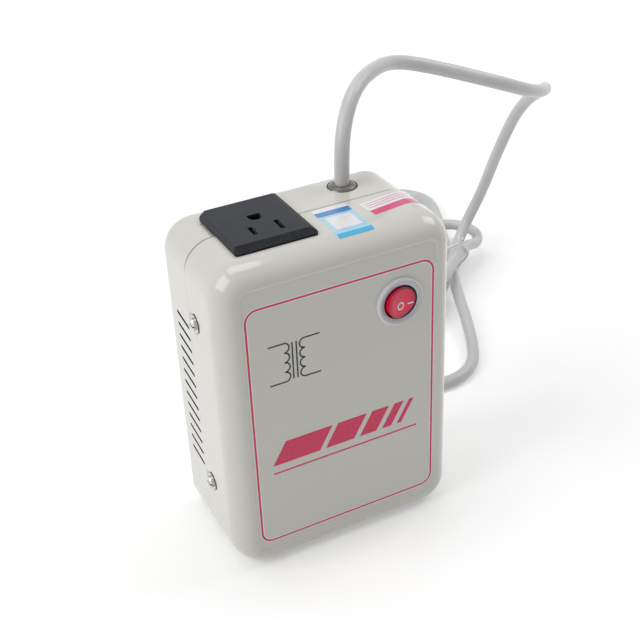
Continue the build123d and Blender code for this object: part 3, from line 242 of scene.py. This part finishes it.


# Satin silver-grey moulded plastic: a painted highlight brightens its outer edge, the dished ring inside
# it is greyer, and the bore that the rocker sits in has painted shade with a painted red spill of light
def bezel_plastic():
    bore_radius, ring_radius, painted_highlight_radius = 8.5, 10.7, 11.3
    looks = {"Coat Weight": 0.3, "Coat Roughness": 0.15}
    material, tree, shader, place = begin("silver_grey_moulded_plastic", **looks)
    from_axis = reach_from(tree, place, (1.0, 0.0, 1.0), (switch_x, 0.0, switch_z))
    # Painted shade in the bore, tinted by a painted red spill of light from the rocker
    painted_bore_shade = {0: from_axis, 1: bore_radius * mm}
    painted_bore_shade = add(tree, "ShaderNodeMath", painted_bore_shade, operation="LESS_THAN").outputs[0]
    patches = {"Vector": place, "Scale": 1 / (4 * mm), "Detail": 3.0}
    drift = add(tree, "ShaderNodeTexNoise", patches).outputs["Fac"]
    # Painted highlight: the grey lightens over the outer edge towards its rim
    edge = {"Value": from_axis, "From Min": ring_radius * mm, "From Max": painted_highlight_radius * mm}
    edge = add(tree, "ShaderNodeMapRange", edge).outputs[0]
    shades = {0: edge, 6: linear("#BFC0C5"), 7: linear("#E2E3E6")}
    grey = add(tree, "ShaderNodeMix", shades, data_type="RGBA").outputs[2]
    both = {0: painted_bore_shade, 6: grey, 7: linear("#22060A")}
    colour = add(tree, "ShaderNodeMix", both, data_type="RGBA").outputs[2]
    grains = {"Vector": place, "Scale": 1 / (0.4 * mm), "Detail": 2.0}
    height = add(tree, "ShaderNodeTexNoise", grains).outputs["Fac"]
    dress(tree, shader, colour, drift, (0.28, 0.36), height, 0.004)
    return material


# Soft PVC insulation of the earth lead: green with a yellow stripe round it every 5 mm
def earth_lead():
    material, tree, shader, place = begin("green_yellow_pvc", **gloss)
    stripes = {"Vector": place, "Scale": pi / 10 / (5 * mm), "Distortion": 0.0}
    bands = add(tree, "ShaderNodeTexWave", stripes, bands_direction="DIAGONAL").outputs["Fac"]
    # Yellow takes the crests of the wave, a little under half of the pitch
    yellow = add(tree, "ShaderNodeMath", {0: bands, 1: 0.62}, operation="GREATER_THAN").outputs[0]
    shades = {0: yellow, 6: linear("#2E7D32"), 7: linear("#E3C62B")}
    colour = add(tree, "ShaderNodeMix", shades, data_type="RGBA").outputs[2]
    dress(tree, shader, colour, bands, (0.32, 0.42), bands, 0.005)
    return material


# Soft grey PVC: the cores inside show as a slow, faint swell of the sheath
def cord_pvc():
    looks = {"Coat Weight": 0.2, "Coat Roughness": 0.2}
    material, tree, shader, place = begin("grey_pvc_sheath", **looks)
    drift, colour = patched(tree, place, "#C3C2C3", "#D0CFCF", 14)
    swells = {"Vector": place, "Scale": 1 / (11 * mm), "Detail": 1.0}
    swell = add(tree, "ShaderNodeTexNoise", swells).outputs["Fac"]
    grains = {"Vector": place, "Scale": 1 / (0.6 * mm), "Detail": 2.0}
    grain = add(tree, "ShaderNodeTexNoise", grains).outputs["Fac"]
    # The grain is 0.04 as deep as the swell
    grain = add(tree, "ShaderNodeMath", {0: grain, 1: 0.04}, operation="MULTIPLY").outputs[0]
    height = add(tree, "ShaderNodeMath", {0: swell, 1: grain}, operation="ADD").outputs[0]
    dress(tree, shader, colour, drift, (0.3, 0.4), height, 0.22)
    return material


# Clear red polycarbonate of a lit rocker: milky on its dished face, with painted light and shade at the
# clear rim, bright red on the flank that faces the window and dark red on the far flank. Light goes a
# little way in.
def clear_rocker():
    face_shift, face_radius, rim_radius = 0.55, 6.4, 6.8
    lit_left, lit_right = switch_x - 4, switch_x + 3
    looks = {
        "Coat Weight": 0.4,
        "Coat Roughness": 0.04,
        "Specular IOR Level": 0.2,
        "Subsurface Weight": 0.3,
        "Subsurface Scale": 2 * mm,
        "Subsurface Radius": (1.0, 0.15, 0.1),
    }
    material, tree, shader, place = begin("clear_red_polycarbonate", **looks)
    from_face = reach_from(tree, place, (1.0, 0.0, 1.0), (switch_x + face_shift, 0.0, switch_z))
    painted_rim_mask = {"Value": from_face, "From Min": face_radius * mm, "From Max": rim_radius * mm}
    painted_rim_mask = add(tree, "ShaderNodeMapRange", painted_rim_mask).outputs[0]
    # Painted light and shade on the rim: bright red towards the window on the left, dark red to the right
    across = add(tree, "ShaderNodeSeparateXYZ", {"Vector": place}).outputs["X"]
    lit = {"Value": across, "From Min": lit_left * mm, "From Max": lit_right * mm}
    lit = add(tree, "ShaderNodeMapRange", lit).outputs[0]
    flank_light_and_shade = {0: lit, 6: linear("#D80F3E"), 7: linear("#5A1424")}
    painted_flank_light = add(tree, "ShaderNodeMix", flank_light_and_shade, data_type="RGBA").outputs[2]
    drift, face = patched(tree, place, "#E5204F", "#ED2A5A", 5)
    both = {0: painted_rim_mask, 6: face, 7: painted_flank_light}
    colour = add(tree, "ShaderNodeMix", both, data_type="RGBA").outputs[2]
    grains = {"Vector": place, "Scale": 1 / (3 * mm), "Detail": 2.0}
    height = add(tree, "ShaderNodeTexNoise", grains).outputs["Fac"]
    dress(tree, shader, colour, drift, (0.12, 0.2), height, 0.008)
    return material


# Bright nickel plate on turned steel: a faint haze, and dark rings of painted shade and dark reflection
# in the corner round each head and on the edge of each washer
def screw_plate():
    corner_radius, corner_half_width, washer_edge = 3.0, 0.14, 4.3
    material, tree, shader, place = begin("bright_nickel_plate", **metal)
    # Painted shade and dark reflection: dark rings round each screw's axis
    low, high = [reach_from(tree, place, (0.0, 1.0, 1.0), (0.0, screw_y, z)) for z in screw_heights]
    reach = add(tree, "ShaderNodeMath", {0: low, 1: high}, operation="MINIMUM").outputs[0]
    corner = {0: reach, 1: corner_radius * mm, 2: corner_half_width * mm}
    corner = add(tree, "ShaderNodeMath", corner, operation="COMPARE").outputs[0]
    edge = {0: reach, 1: washer_edge * mm}
    edge = add(tree, "ShaderNodeMath", edge, operation="GREATER_THAN").outputs[0]
    painted_ring_shade = add(tree, "ShaderNodeMath", {0: corner, 1: edge}, operation="MAXIMUM").outputs[0]
    drift, plate = patched(tree, place, "#C2C0BD", "#D8D6D3", 1.5)
    both = {0: painted_ring_shade, 6: plate, 7: linear("#6B675F")}
    colour = add(tree, "ShaderNodeMix", both, data_type="RGBA").outputs[2]
    grains = {"Vector": place, "Scale": 1 / (0.35 * mm), "Detail": 2.0}
    height = add(tree, "ShaderNodeTexNoise", grains).outputs["Fac"]
    dress(tree, shader, colour, drift, (0.12, 0.22), height, 0.004)
    return material


finishes = {
    "case_paint": case_coat(),
    "outlet_plastic": outlet_nylon(),
    "bezel_plastic": bezel_plastic(),
    "cord_sheath": cord_pvc(),
    "lead_green": earth_lead(),
    "rocker_red": clear_rocker(),
    "screw_nickel": screw_plate(),
    # Glass-filled nylon, dark warm grey and semi-gloss
    "bushing_plastic": finish(
        "dark_grey_glass_nylon", "#5B5A55", "#64635E", 6, (0.25, 0.32), 0.6, 0.004, **gloss
    ),
    # Compression-moulded phenolic, black and dull
    "outlet_insulator": finish("black_phenolic", "#101113", "#18191B", 5, (0.4, 0.55), 0.4, 0.01),
    # Stamped brass with a drawing haze
    "contact_brass": finish("stamped_brass", "#B08C45", "#C6A45C", 3, (0.22, 0.38), 0.5, 0.006, **metal),
    # Natural nylon, a little waxy
    "plunger_nylon": finish("waxy_nylon", "#DAD8CF", "#E4E2DA", 3, (0.35, 0.45), 0.5, 0.006),
    # Zinc plate with a pale spangle
    "fastener_zinc": finish("zinc_plate", "#9FA2A3", "#BFC1C0", 2, (0.26, 0.42), 0.6, 0.012, **metal),
    # Varnished transformer steel: the sheets are 0.5 mm thick
    "core_steel": banded(
        "varnished_core_sheets", "#3A3A3D", "#57575A", 0.5, "Y", (0.35, 0.5), 0.03, **metal
    ),
    # Galvanised strip steel
    "clamp_steel": finish(
        "galvanised_strip_steel", "#93918A", "#A9A7A0", 4, (0.3, 0.45), 0.8, 0.012, **metal
    ),
    # Moulded nylon, cream
    "bobbin_nylon": finish("cream_moulded_nylon", "#C2BDAE", "#CDC8BA", 6, (0.4, 0.5), 0.6, 0.01),
    # Enamelled copper wire, 0.8 mm from turn to turn
    "winding_copper": banded(
        "enamelled_copper_wire", "#6F2A12", "#B8622F", 0.8, "Z", (0.2, 0.32), 0.12, **metal
    ),
    # Polyester film tape, yellow and glossy, with the ripple of the turns under it
    "tape_polyester": finish(
        "yellow_polyester_film", "#C9A227", "#D6B13A", 7, (0.15, 0.25), 2.5, 0.02, **gloss
    ),
    # Moulded case of the thermal cut-out, black and dull
    "cutout_case": finish("black_moulded_case", "#121212", "#1C1C1C", 3, (0.35, 0.5), 0.4, 0.01),
    # White PVC over soft wire, satin
    "tie_plastic": finish("white_pvc_coating", "#DEDEDC", "#E8E8E6", 3, (0.3, 0.4), 1.2, 0.01, **gloss),
    # Grey PVC moulded round the plug, a touch rougher than the sheath
    "plug_plastic": finish(
        "grey_pvc_moulding", "#A7A6A8", "#B0AFB1", 10, (0.38, 0.5), 0.7, 0.02, **gloss
    ),
    # Nickel-plated brass with a haze from use
    "pin_brass": finish(
        "nickel_plated_brass", "#B9B4A6", "#CFCABC", 2, (0.2, 0.34), 0.5, 0.006, **metal
    ),
    # Soft PVC insulation of the inner leads, each in its own colour
    "lead_brown": finish("brown_pvc", "#4A2A1A", "#573222", 4, *pvc, **gloss),
    "lead_blue": finish("blue_pvc", "#1B4E9B", "#245BAA", 4, *pvc, **gloss),
    "lead_red": finish("red_pvc", "#A31A1A", "#B32222", 4, *pvc, **gloss),
    "lead_black": finish("black_pvc", "#161616", "#202020", 4, *pvc, **gloss),
    "lead_white": finish("white_pvc", "#DADAD6", "#E4E4E0", 4, *pvc, **gloss),
}
slot_of = {part["node"]: part["material_slot"] for part in frame["record"]["subparts"]}
for node_name, node_object in nodes.items():
    for material_slot in node_object.material_slots:
        material_slot.material = finishes[slot_of[node_name]]


# ---- Camera at the photograph's angle, solved from the case's edges ------------------------------
camera_place = Vector((-199.71, -421.67, 396.82)) * mm
camera_right = Vector((0.88739, -0.45942, -0.03834))
camera_up = Vector((0.27242, 0.45546, 0.84755))
camera_back = Vector((-0.37192, -0.76255, 0.52933))
camera_data = bpy.data.cameras.new("photo_camera")
camera_data.lens = 65.994
camera_data.sensor_width = 36.0
camera_data.clip_start = 0.01
camera = bpy.data.objects.new("photo_camera", camera_data)
turn = Matrix((camera_right, camera_up, camera_back)).transposed().to_4x4()
camera.matrix_world = Matrix.Translation(camera_place) @ turn
bpy.context.collection.objects.link(camera)
bpy.context.scene.camera = camera

# ---- The mains cord and its tie, routes in millimetres -------------------------------------------
# Out of the bushing, over the arch and down to the hank
arch_route = [
    (cord_x, cord_y, bushing_top),
    (cord_x, cord_y, 176),
    (33, 21, 191),
    (43, 30, 200.5),
    (58, 42, 203),
    (82, 61, 198),
    (108, 61, 189),
    (139, 50, 178),
    (174, 62, 161),
    (206, 96, 148),
    (212, 130, 124),
    (209, 147, 87),
    (213, 168, 49),
    (205, 175, 24),
]

# The hank lies about its waist: u runs along it, v across it, and its loops fan out. A lane is the
# height of a strand's middle in the loops, and the strands rise a little where the tie holds them.
hank_waist = (178.0, 152.0)
hank_angle = radians(231.3)
waist_half = 12.0
low_lane = 3.8
high_lane = 12.2
waist_lift = 1.3
loop_corner_count = 6
loop_corner_turn = radians(45.0)


def on_hank(u, v, z):
    """Give the place of a point that is known along and across the hank."""
    x = hank_waist[0] + u * cos(hank_angle) - v * sin(hank_angle)
    y = hank_waist[1] + u * sin(hank_angle) + v * cos(hank_angle)
    return (x, y, z)


def hank_loop(end, reach, radius, swing, z, first_side):
    """Give the six corners of one loop, round a circle at one end of the hank."""
    corner_radius = radius / cos(loop_corner_turn / 2)
    lean = radians(swing)
    points = []
    for corner in range(loop_corner_count):
        turn = loop_corner_turn * ((loop_corner_count - 1) / 2 - corner) * first_side
        u = (reach + corner_radius * cos(turn)) * end
        v = corner_radius * sin(turn)
        points.append(on_hank(u * cos(lean) - v * sin(lean), u * sin(lean) + v * cos(lean), z))
    return points


def waist_run(v, z, heading):
    """Give the two points of a strand that passes the waist."""
    start = on_hank(-waist_half * heading, v, z + waist_lift)
    end = on_hank(waist_half * heading, v, z + waist_lift)
    return [start, end]


hank_route = [
    on_hank(-14, 1.8, high_lane + waist_lift),
    on_hank(12, 1.4, high_lane + waist_lift),
    *hank_loop(1, 100, 34, -5.5, low_lane, 1),
    *waist_run(-9, low_lane, -1),
    *hank_loop(-1, 102, 27, 28.5, low_lane, -1),
    *waist_run(-0.8, low_lane, 1),
    *hank_loop(1, 68, 23, -26, high_lane, 1),
    *waist_run(-9, high_lane, -1),
    *hank_loop(-1, 36, 19, 6, high_lane, -1),
    on_hank(-12, 9.5, 19.7),
    on_hank(12, 5, 22.5),
]
# Over the waist and down to the floor behind the case, where the plug lies
tail_route = [
    (146, 114.5, 22.7),
    (106, 104, 22.7),
    (84, 108, 14.5),
    (68, 108, 14.5),
]
cord_route = arch_route + hank_route + tail_route


def wire(name, route, radius, finish_slot):
    """Make one round wire on a smooth line that these points steer, in millimetres."""
    curve = bpy.data.curves.new(name, "CURVE")
    curve.dimensions = "3D"
    curve.bevel_depth = radius * mm
    curve.bevel_resolution = 7
    curve.resolution_u = 10
    curve.use_fill_caps = True
    line = curve.splines.new("NURBS")
    line.points.add(len(route) - 1)
    for point, (x, y, z) in zip(line.points, route):
        point.co = (x * mm, y * mm, z * mm, 1.0)
    line.order_u = 3
    line.use_endpoint_u = True
    line.use_smooth = True
    made = bpy.data.objects.new(name, curve)
    bpy.context.collection.objects.link(made)
    curve.materials.append(finishes[finish_slot])
    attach(made, "case")
    return made


mains_cord = wire("mains_cord", cord_route, cord_diameter / 2, "cord_sheath")
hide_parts("cord_arch", "cord_hank", "cord_tail")

# The tie runs close round the five strands at the waist, and its two ends stand up twisted
tie_radius = 0.75
tie_route = [
    on_hank(-0.7, 5.4, 32.2),
    on_hank(0.9, 6.0, 30.6),
    on_hank(0.5, 7.6, 28.6),
    on_hank(0.7, 10.9, 24.6),
    on_hank(0.7, 12.6, 20.6),
    on_hank(0.6, 9.2, 14.9),
    on_hank(0.5, 6.0, 11.0),
    on_hank(0.4, 4.9, 6.0),
    on_hank(0.4, 3.8, 1.6),
    on_hank(0.3, 1.6, tie_radius),
    on_hank(0.1, -11.6, tie_radius),
    on_hank(0, -13.9, 2.9),
    on_hank(-0.1, -13.9, 15.0),
    on_hank(-0.2, -12.6, 17.4),
    on_hank(-0.5, 2.2, 24.6),
    on_hank(-0.8, 6.2, 27.0),
    on_hank(-0.9, 7.4, 29.4),
    on_hank(0.6, 8.4, 31.4),
]
waist_tie = wire("waist_tie", tie_route, tie_radius, "tie_plastic")
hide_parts("twist_tie")


# ---- Collar of the bushing, which stands up close round the cord ---------------------------------
# Its section, each point a radius from the cord's middle and a height
collar_section = [
    (3.68, 160.7),
    (3.68, 162.5),
    (3.9, 162.8),
    (4.5, 162.8),
    (5.6, 162.4),
    (6.6, 161.6),
    (7.05, 160.7),
]
collar_turns = 64
corners = len(collar_section)
collar_places, collar_faces = [], []
for step in range(collar_turns):
    turn = 2 * pi * step / collar_turns
    here, there = step * corners, (step + 1) % collar_turns * corners
    for corner, (radius, z) in enumerate(collar_section):
        place = (cord_x + radius * cos(turn), cord_y + radius * sin(turn), z)
        collar_places.append([length * mm for length in place])
        after = (corner + 1) % corners
        collar_faces.append((here + corner, here + after, there + after, there + corner))
collar_mesh = bpy.data.meshes.new("bushing_collar")
collar_mesh.from_pydata(collar_places, [], collar_faces)
collar_mesh.materials.append(finishes["bushing_plastic"])
for polygon in collar_mesh.polygons:
    polygon.use_smooth = True
bushing_collar = bpy.data.objects.new("bushing_collar", collar_mesh)
bpy.context.collection.objects.link(bushing_collar)
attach(bushing_collar, "case")


# ---- Print, labels and marks: each a thin sheet just clear of the face that carries it -----------
# How thick a sheet is, and how far its outer face stands off, in millimetres. Some print lies over
# other print or on a label, and so it stands off further.
print_thickness, print_lift, over_print_lift = 0.02, 0.03, 0.04
label_thickness, label_lift, label_print_lift = 0.08, 0.09, 0.11
mark_thickness, mark_lift = 0.03, 0.05


def sheet_piece(name, vertices, faces, finish_made, thickness, body="case"):
    """Make a thin sheet from places in millimetres, its underside towards what carries it."""
    mesh = bpy.data.meshes.new(name)
    mesh.from_pydata([Vector(place) * mm for place in vertices], [], faces)
    mesh.validate()
    mesh.materials.append(finish_made)
    for polygon in mesh.polygons:
        polygon.use_smooth = True
    made = bpy.data.objects.new(name, mesh)
    bpy.context.collection.objects.link(made)
    body_of_sheet = made.modifiers.new("thickness", "SOLIDIFY")
    body_of_sheet.thickness = thickness * mm
    body_of_sheet.offset = -1.0
    crisp_edges = made.modifiers.new("crisp_edges", "EDGE_SPLIT")
    crisp_edges.split_angle = radians(30)
    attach(made, body)
    return made


def strip_faces(first, count, closed):
    """Give the faces of a strip; its two edges, of equal count, follow each other from a first place."""
    faces = []
    for step in range(count if closed else count - 1):
        here, there = first + step, first + (step + 1) % count
        faces.append((here, there, count + there, count + here))
    return faces


def panel_strips(name, strips, finish_made, lift):
    """Print flat shapes on the label panel; each is a left and a right edge of equal count."""
    vertices, faces = [], []
    for left, right, closed in strips:
        faces.extend(strip_faces(len(vertices), len(left), closed))
        vertices.extend((x, panel_y - lift, z) for x, z in [*left, *right])
    return sheet_piece(name, vertices, faces, finish_made, print_thickness)


def stroke(points, width, closed=False, shift=0.0):
    """Give the two edges of a line of even width along these points, moved sideways by a shift."""
    count = len(points)
    left, right = [], []
    for here, (x, z) in enumerate(points):
        before = points[(here - 1) % count] if closed or here else points[here]
        after = points[(here + 1) % count] if closed or here < count - 1 else points[here]
        run_x, run_z = after[0] - before[0], after[1] - before[1]
        size = hypot(run_x, run_z)
        for edge, offset in ((left, shift - width / 2), (right, shift + width / 2)):
            edge.append((x - run_z / size * offset, z + run_x / size * offset))
    return left, right, closed


def arc(middle_x, middle_z, radius, first, last, steps=12):
    """Give points along an arc, its angles in degrees."""
    turns = [radians(first + (last - first) * step / steps) for step in range(steps + 1)]
    return [(middle_x + radius * cos(turn), middle_z + radius * sin(turn)) for turn in turns]


red_ink = finish("red_screen_print_ink", "#D42252", "#DC2A5A", 3, (0.25, 0.35), 0.8, 0.003)
pale_ink = finish("pale_screen_print_ink", "#DFEADF", "#E6EFE6", 3, (0.3, 0.4), 0.8, 0.003)
black_ink = finish("black_screen_print_ink", "#1B1A1A", "#232222", 3, (0.25, 0.35), 0.8, 0.003)

# Border of the panel: a red line with a pale outline on each side
border_left, border_right, border_low, border_high, border_corner = -46.0, 46.3, 14.9, 142.5, 5.8
border = [
    *arc(border_right - border_corner, border_high - border_corner, border_corner, 0, 90),
    *arc(border_left + border_corner, border_high - border_corner, border_corner, 90, 180),
    *arc(border_left + border_corner, border_low + border_corner, border_corner, 180, 270),
    *arc(border_right - border_corner, border_low + border_corner, border_corner, 270, 360),
]
border_width, outline_width = 1.0, 0.5
outline_shift = (border_width + outline_width) / 2
outlines = [stroke(border, outline_width, True, side * outline_shift) for side in (-1, 1)]
panel_strips("border_outline", outlines, pale_ink, print_lift)
panel_strips("border_line", [stroke(border, border_width, True)], red_ink, over_print_lift)

# Plain trim on the panel: a row of slanted bars that grow narrower over a thin rule
bar_low, bar_high, bar_slant, bar_gap = 58.0, 70.0, 7.0, 3.0
rule_end, rule_height, rule_width = 38.0, 53.5, 0.9
bars = []
bar_left = -rule_end
for bar_width in (24.0, 15.0, 9.0, 5.0, 2.5):
    left = [(bar_left, bar_low), (bar_left + bar_slant, bar_high)]
    right = [(bar_left + bar_width, bar_low), (bar_left + bar_slant + bar_width, bar_high)]
    bars.append((left, right, False))
    bar_left += bar_width + bar_gap
bars.append(stroke([(-rule_end, rule_height), (rule_end, rule_height)], rule_width))
panel_strips("trim_bars", bars, red_ink, print_lift)

# Circuit symbol of a transformer: two windings that bow towards the two lines of its core
symbol_x, symbol_z, symbol_width = -24.0, 112.0, 0.75
winding_bumps, winding_pitch, winding_shift = 4, 5.0, 5.0
core_shift, core_half_height, lead_end = 1.0, 9.5, 12.5
symbol = []
for side in (-1, 1):
    winding_x = symbol_x + side * winding_shift
    last_angle = 90 if side < 0 else -270
    for bump in range(winding_bumps):
        middle_z = symbol_z + (bump - (winding_bumps - 1) / 2) * winding_pitch
        symbol.append(stroke(arc(winding_x, middle_z, winding_pitch / 2, -90, last_angle), symbol_width))
    for end in (-1, 1):
        lead_z = symbol_z + end * winding_bumps / 2 * winding_pitch
        lead = [(winding_x, lead_z), (symbol_x + side * lead_end, lead_z)]
        symbol.append(stroke(lead, symbol_width))
    core_x = symbol_x + side * core_shift
    core = [(core_x, symbol_z - core_half_height), (core_x, symbol_z + core_half_height)]
    symbol.append(stroke(core, symbol_width))
panel_strips("winding_symbol", symbol, black_ink, print_lift)

# A sheet on the top goes this share of the way down the front rim at most, and has this many steps
# each way, which keeps it clear of the rounded case
rim_share, sheet_steps = 0.98, 40


def on_case(x, y, lift):
    """Give the place over a point of the case's top, round its side corner and its front rim."""
    share = min(max((rim_root_y - y) / rim_depth, 0.0), rim_share)
    inset = rim_width * (1 - sqrt(1 - share * share))
    out, forward = sqrt(1 - share * share) / rim_width, share / rim_depth
    size = hypot(out, forward)
    out, forward = out / size * lift - inset, forward / size * lift
    flat = side_x - case_corner
    turn = max(x - flat, 0.0) / case_corner
    radius = case_corner + out
    return (min(x, flat) + radius * sin(turn), y - forward, case_top - case_corner + radius * cos(turn))


def top_sheet(name, middle, turn, edges, finish_made, lift, thickness):
    """Lay a rectangle on the case's top; its edges are left, right, low and high of its middle."""
    left, right, low, high = edges
    lean = radians(turn)
    vertices, faces = [], []
    for row in range(sheet_steps + 1):
        up = low + (high - low) * row / sheet_steps
        for column in range(sheet_steps + 1):
            across = left + (right - left) * column / sheet_steps
            x = middle[0] + across * cos(lean) - up * sin(lean)
            y = middle[1] + across * sin(lean) + up * cos(lean)
            vertices.append(on_case(x, y, lift))
    for row in range(sheet_steps):
        for column in range(sheet_steps):
            here = row * (sheet_steps + 1) + column
            above = here + sheet_steps + 1
            faces.append((here, here + 1, above + 1, above))
    return sheet_piece(name, vertices, faces, finish_made, thickness)


# Two glossy vinyl labels on the top, each a plain ground with coloured fields printed on it
vinyl = {"Coat Weight": 0.6, "Coat Roughness": 0.08}
label_blue = finish("pale_blue_vinyl", "#8FC9E6", "#B9DDEE", 4, (0.25, 0.35), 2, 0.006, **vinyl)
label_band = finish("blue_vinyl", "#2C79BE", "#3584C8", 4, (0.25, 0.35), 2, 0.006, **vinyl)
label_cyan = finish("cyan_vinyl", "#22A9D8", "#2FB4E0", 4, (0.25, 0.35), 2, 0.006, **vinyl)
label_white = finish("white_vinyl", "#E6E4E6", "#EDECEE", 4, (0.25, 0.35), 2, 0.006, **vinyl)
label_pink = finish("pink_vinyl", "#D42A70", "#DE3A7E", 4, (0.25, 0.35), 2, 0.006, **vinyl)

blue_middle, blue_turn, blue_side, blue_end = (11.75, -14.65), 0, 8.55, 13.85
blue_edges = (-blue_side, blue_side, -blue_end, blue_end)
blue_fields = [
    ("blue_label_head", (-blue_side, blue_side, 10.6, blue_end), label_white),
    ("blue_label_band", (-blue_side, blue_side, 6.4, 10.6), label_band),
    ("blue_label_foot", (-blue_side, blue_side, -blue_end, -10.9), label_cyan),
    ("blue_label_window", (-6.2, 6.2, -7.6, 4.6), label_white),
]
top_sheet("blue_label", blue_middle, blue_turn, blue_edges, label_blue, label_lift, label_thickness)
for name, edges, ink in blue_fields:
    top_sheet(name, blue_middle, blue_turn, edges, ink, label_print_lift, print_thickness)

pink_middle, pink_turn, pink_side, pink_end = (39.3, -10.2), 8, 13.75, 6.4
pink_edges = (-pink_side, pink_side, -pink_end, pink_end)
rule_side, rule_start, rule_pitch, rule_thick = 12.2, 0.4, 1.9, 0.4
pink_fields = [("pink_label_band", (-pink_side, pink_side, -pink_end, -1.8))]
for row in range(3):
    rule_low = rule_start + rule_pitch * row
    rule_edges = (-rule_side, rule_side, rule_low, rule_low + rule_thick)
    pink_fields.append((f"pink_label_rule_{row + 1}", rule_edges))
top_sheet("pink_label", pink_middle, pink_turn, pink_edges, label_white, label_lift, label_thickness)
for name, edges in pink_fields:
    top_sheet(name, pink_middle, pink_turn, edges, label_pink, label_print_lift, print_thickness)

# Marks of the rocker: white pad print on its dished face, whose radius, depth and lean these are
dish_radius, dish_floor = 34.25, 2.2
face_turn = radians(11)
white_ink = finish("white_pad_print_ink", "#F2EEEF", "#F8F5F6", 2, (0.3, 0.4), 0.6, 0.003)


def on_rocker(u, w, lift):
    """Give the place over a point of the rocker's face, u across it and w up it."""
    depth = sqrt(dish_radius**2 - u * u) - dish_radius - dish_floor - lift
    x = switch_x + u * cos(face_turn) - depth * sin(face_turn)
    y = panel_y + u * sin(face_turn) + depth * cos(face_turn)
    return (x, y, switch_z + w)


# The ring stops a step short of a full turn, because a closed stroke joins its ends itself
mark_width = 0.62
off_mark = stroke(arc(-1.1, -1.4, 1.65, 0, 352, 40), mark_width, True)
on_mark = stroke([(2.98, -1.58), (4.6, -1.76), (6.14, -1.94)], mark_width)
for name, (left, right, closed) in (("rocker_off_mark", off_mark), ("rocker_on_mark", on_mark)):
    places = [on_rocker(u, w, mark_lift) for u, w in [*left, *right]]
    faces = strip_faces(0, len(left), closed)
    sheet_piece(name, places, faces, white_ink, mark_thickness, "rocker")


# ---- Floor and light -----------------------------------------------------------------------------
# The camera and reflections see the floor as white, but it lights the object as plain white would.
# The lamps don't reach the far floor, so it glows more with distance, up to the horizon. The sky is
# white to the camera and in reflections too, and gives only a part of that as light.
floor_half = 6.0
floor_glow, far_floor_glow = 0.24, 0.75
near_floor, far_floor = 0.35, 2.5
sky_light = 0.32


def seen_directly(tree):
    """Give 1 on rays that show a thing to the camera, also by reflection or through glass."""
    rays = add(tree, "ShaderNodeLightPath").outputs
    seen = {0: rays["Is Camera Ray"], 1: rays["Is Glossy Ray"]}
    seen = add(tree, "ShaderNodeMath", seen, operation="ADD").outputs[0]
    seen = {0: seen, 1: rays["Is Transmission Ray"]}
    return add(tree, "ShaderNodeMath", seen, operation="ADD", use_clamp=True).outputs[0]


floor_corners = [(x * floor_half, y * floor_half, 0) for x, y in ((-1, -1), (1, -1), (1, 1), (-1, 1))]
floor_mesh = bpy.data.meshes.new("floor")
floor_mesh.from_pydata(floor_corners, [], [(0, 1, 2, 3)])
floor = bpy.data.objects.new("floor", floor_mesh)
bpy.context.collection.objects.link(floor)
floor_white = finish("white_studio_floor", "#F3F3F3", "#F5F5F5", 200, (0.7, 0.8), 2, 0.005)
floor_tree = floor_white.node_tree
floor_place = add(floor_tree, "ShaderNodeTexCoord").outputs["Object"]
away = add(floor_tree, "ShaderNodeVectorMath", {0: floor_place}, operation="LENGTH").outputs["Value"]
glow = {"Value": away, "From Min": near_floor, "From Max": far_floor}
glow = {**glow, "To Min": floor_glow, "To Max": far_floor_glow}
glow = add(floor_tree, "ShaderNodeMapRange", glow).outputs[0]
glow = {0: seen_directly(floor_tree), 1: glow}
glow = add(floor_tree, "ShaderNodeMath", glow, operation="MULTIPLY").outputs[0]
floor_shader = floor_tree.nodes["Principled BSDF"]
floor_shader.inputs["Emission Color"].default_value = (1.0, 1.0, 1.0, 1.0)
floor_tree.links.new(glow, floor_shader.inputs["Emission Strength"])
floor_mesh.materials.append(floor_white)

world = bpy.data.worlds.new("studio")
world.use_nodes = True
world_tree = world.node_tree
backdrop = world_tree.nodes["Background"]
backdrop.inputs["Color"].default_value = (1.0, 1.0, 1.0, 1.0)
strength = {"Value": seen_directly(world_tree), "To Min": sky_light, "To Max": 1.0}
strength = add(world_tree, "ShaderNodeMapRange", strength).outputs[0]
world_tree.links.new(strength, backdrop.inputs["Strength"])
bpy.context.scene.world = world


def softbox(name, direction, distance, size, power):
    """Hang one rectangular soft light in a direction from the case, turned to it."""
    light = bpy.data.lights.new(name, "AREA")
    light.shape = "RECTANGLE"
    light.size, light.size_y = size
    light.energy = power
    lamp = bpy.data.objects.new(name, light)
    aim = Vector((0.0, 0.0, 0.1))
    away = Vector(direction).normalized()
    facing = away.to_track_quat("Z", "Y").to_matrix().to_4x4()
    lamp.matrix_world = Matrix.Translation(aim + away * distance) @ facing
    bpy.context.collection.objects.link(lamp)


softbox("window_left", (-0.79, 0.0, 0.61), 1.6, (1.1, 1.2), 11.6)
softbox("window_right", (0.72, 0.02, 0.66), 1.8, (0.9, 0.9), 7)
softbox("ceiling_strip", (0.22, -0.40, 0.88), 1.6, (0.25, 0.03), 0.12)
softbox("ceiling", (0.0, 0.25, 1.0), 1.8, (1.2, 0.8), 8)

bpy.context.scene.view_settings.view_transform = "Standard"
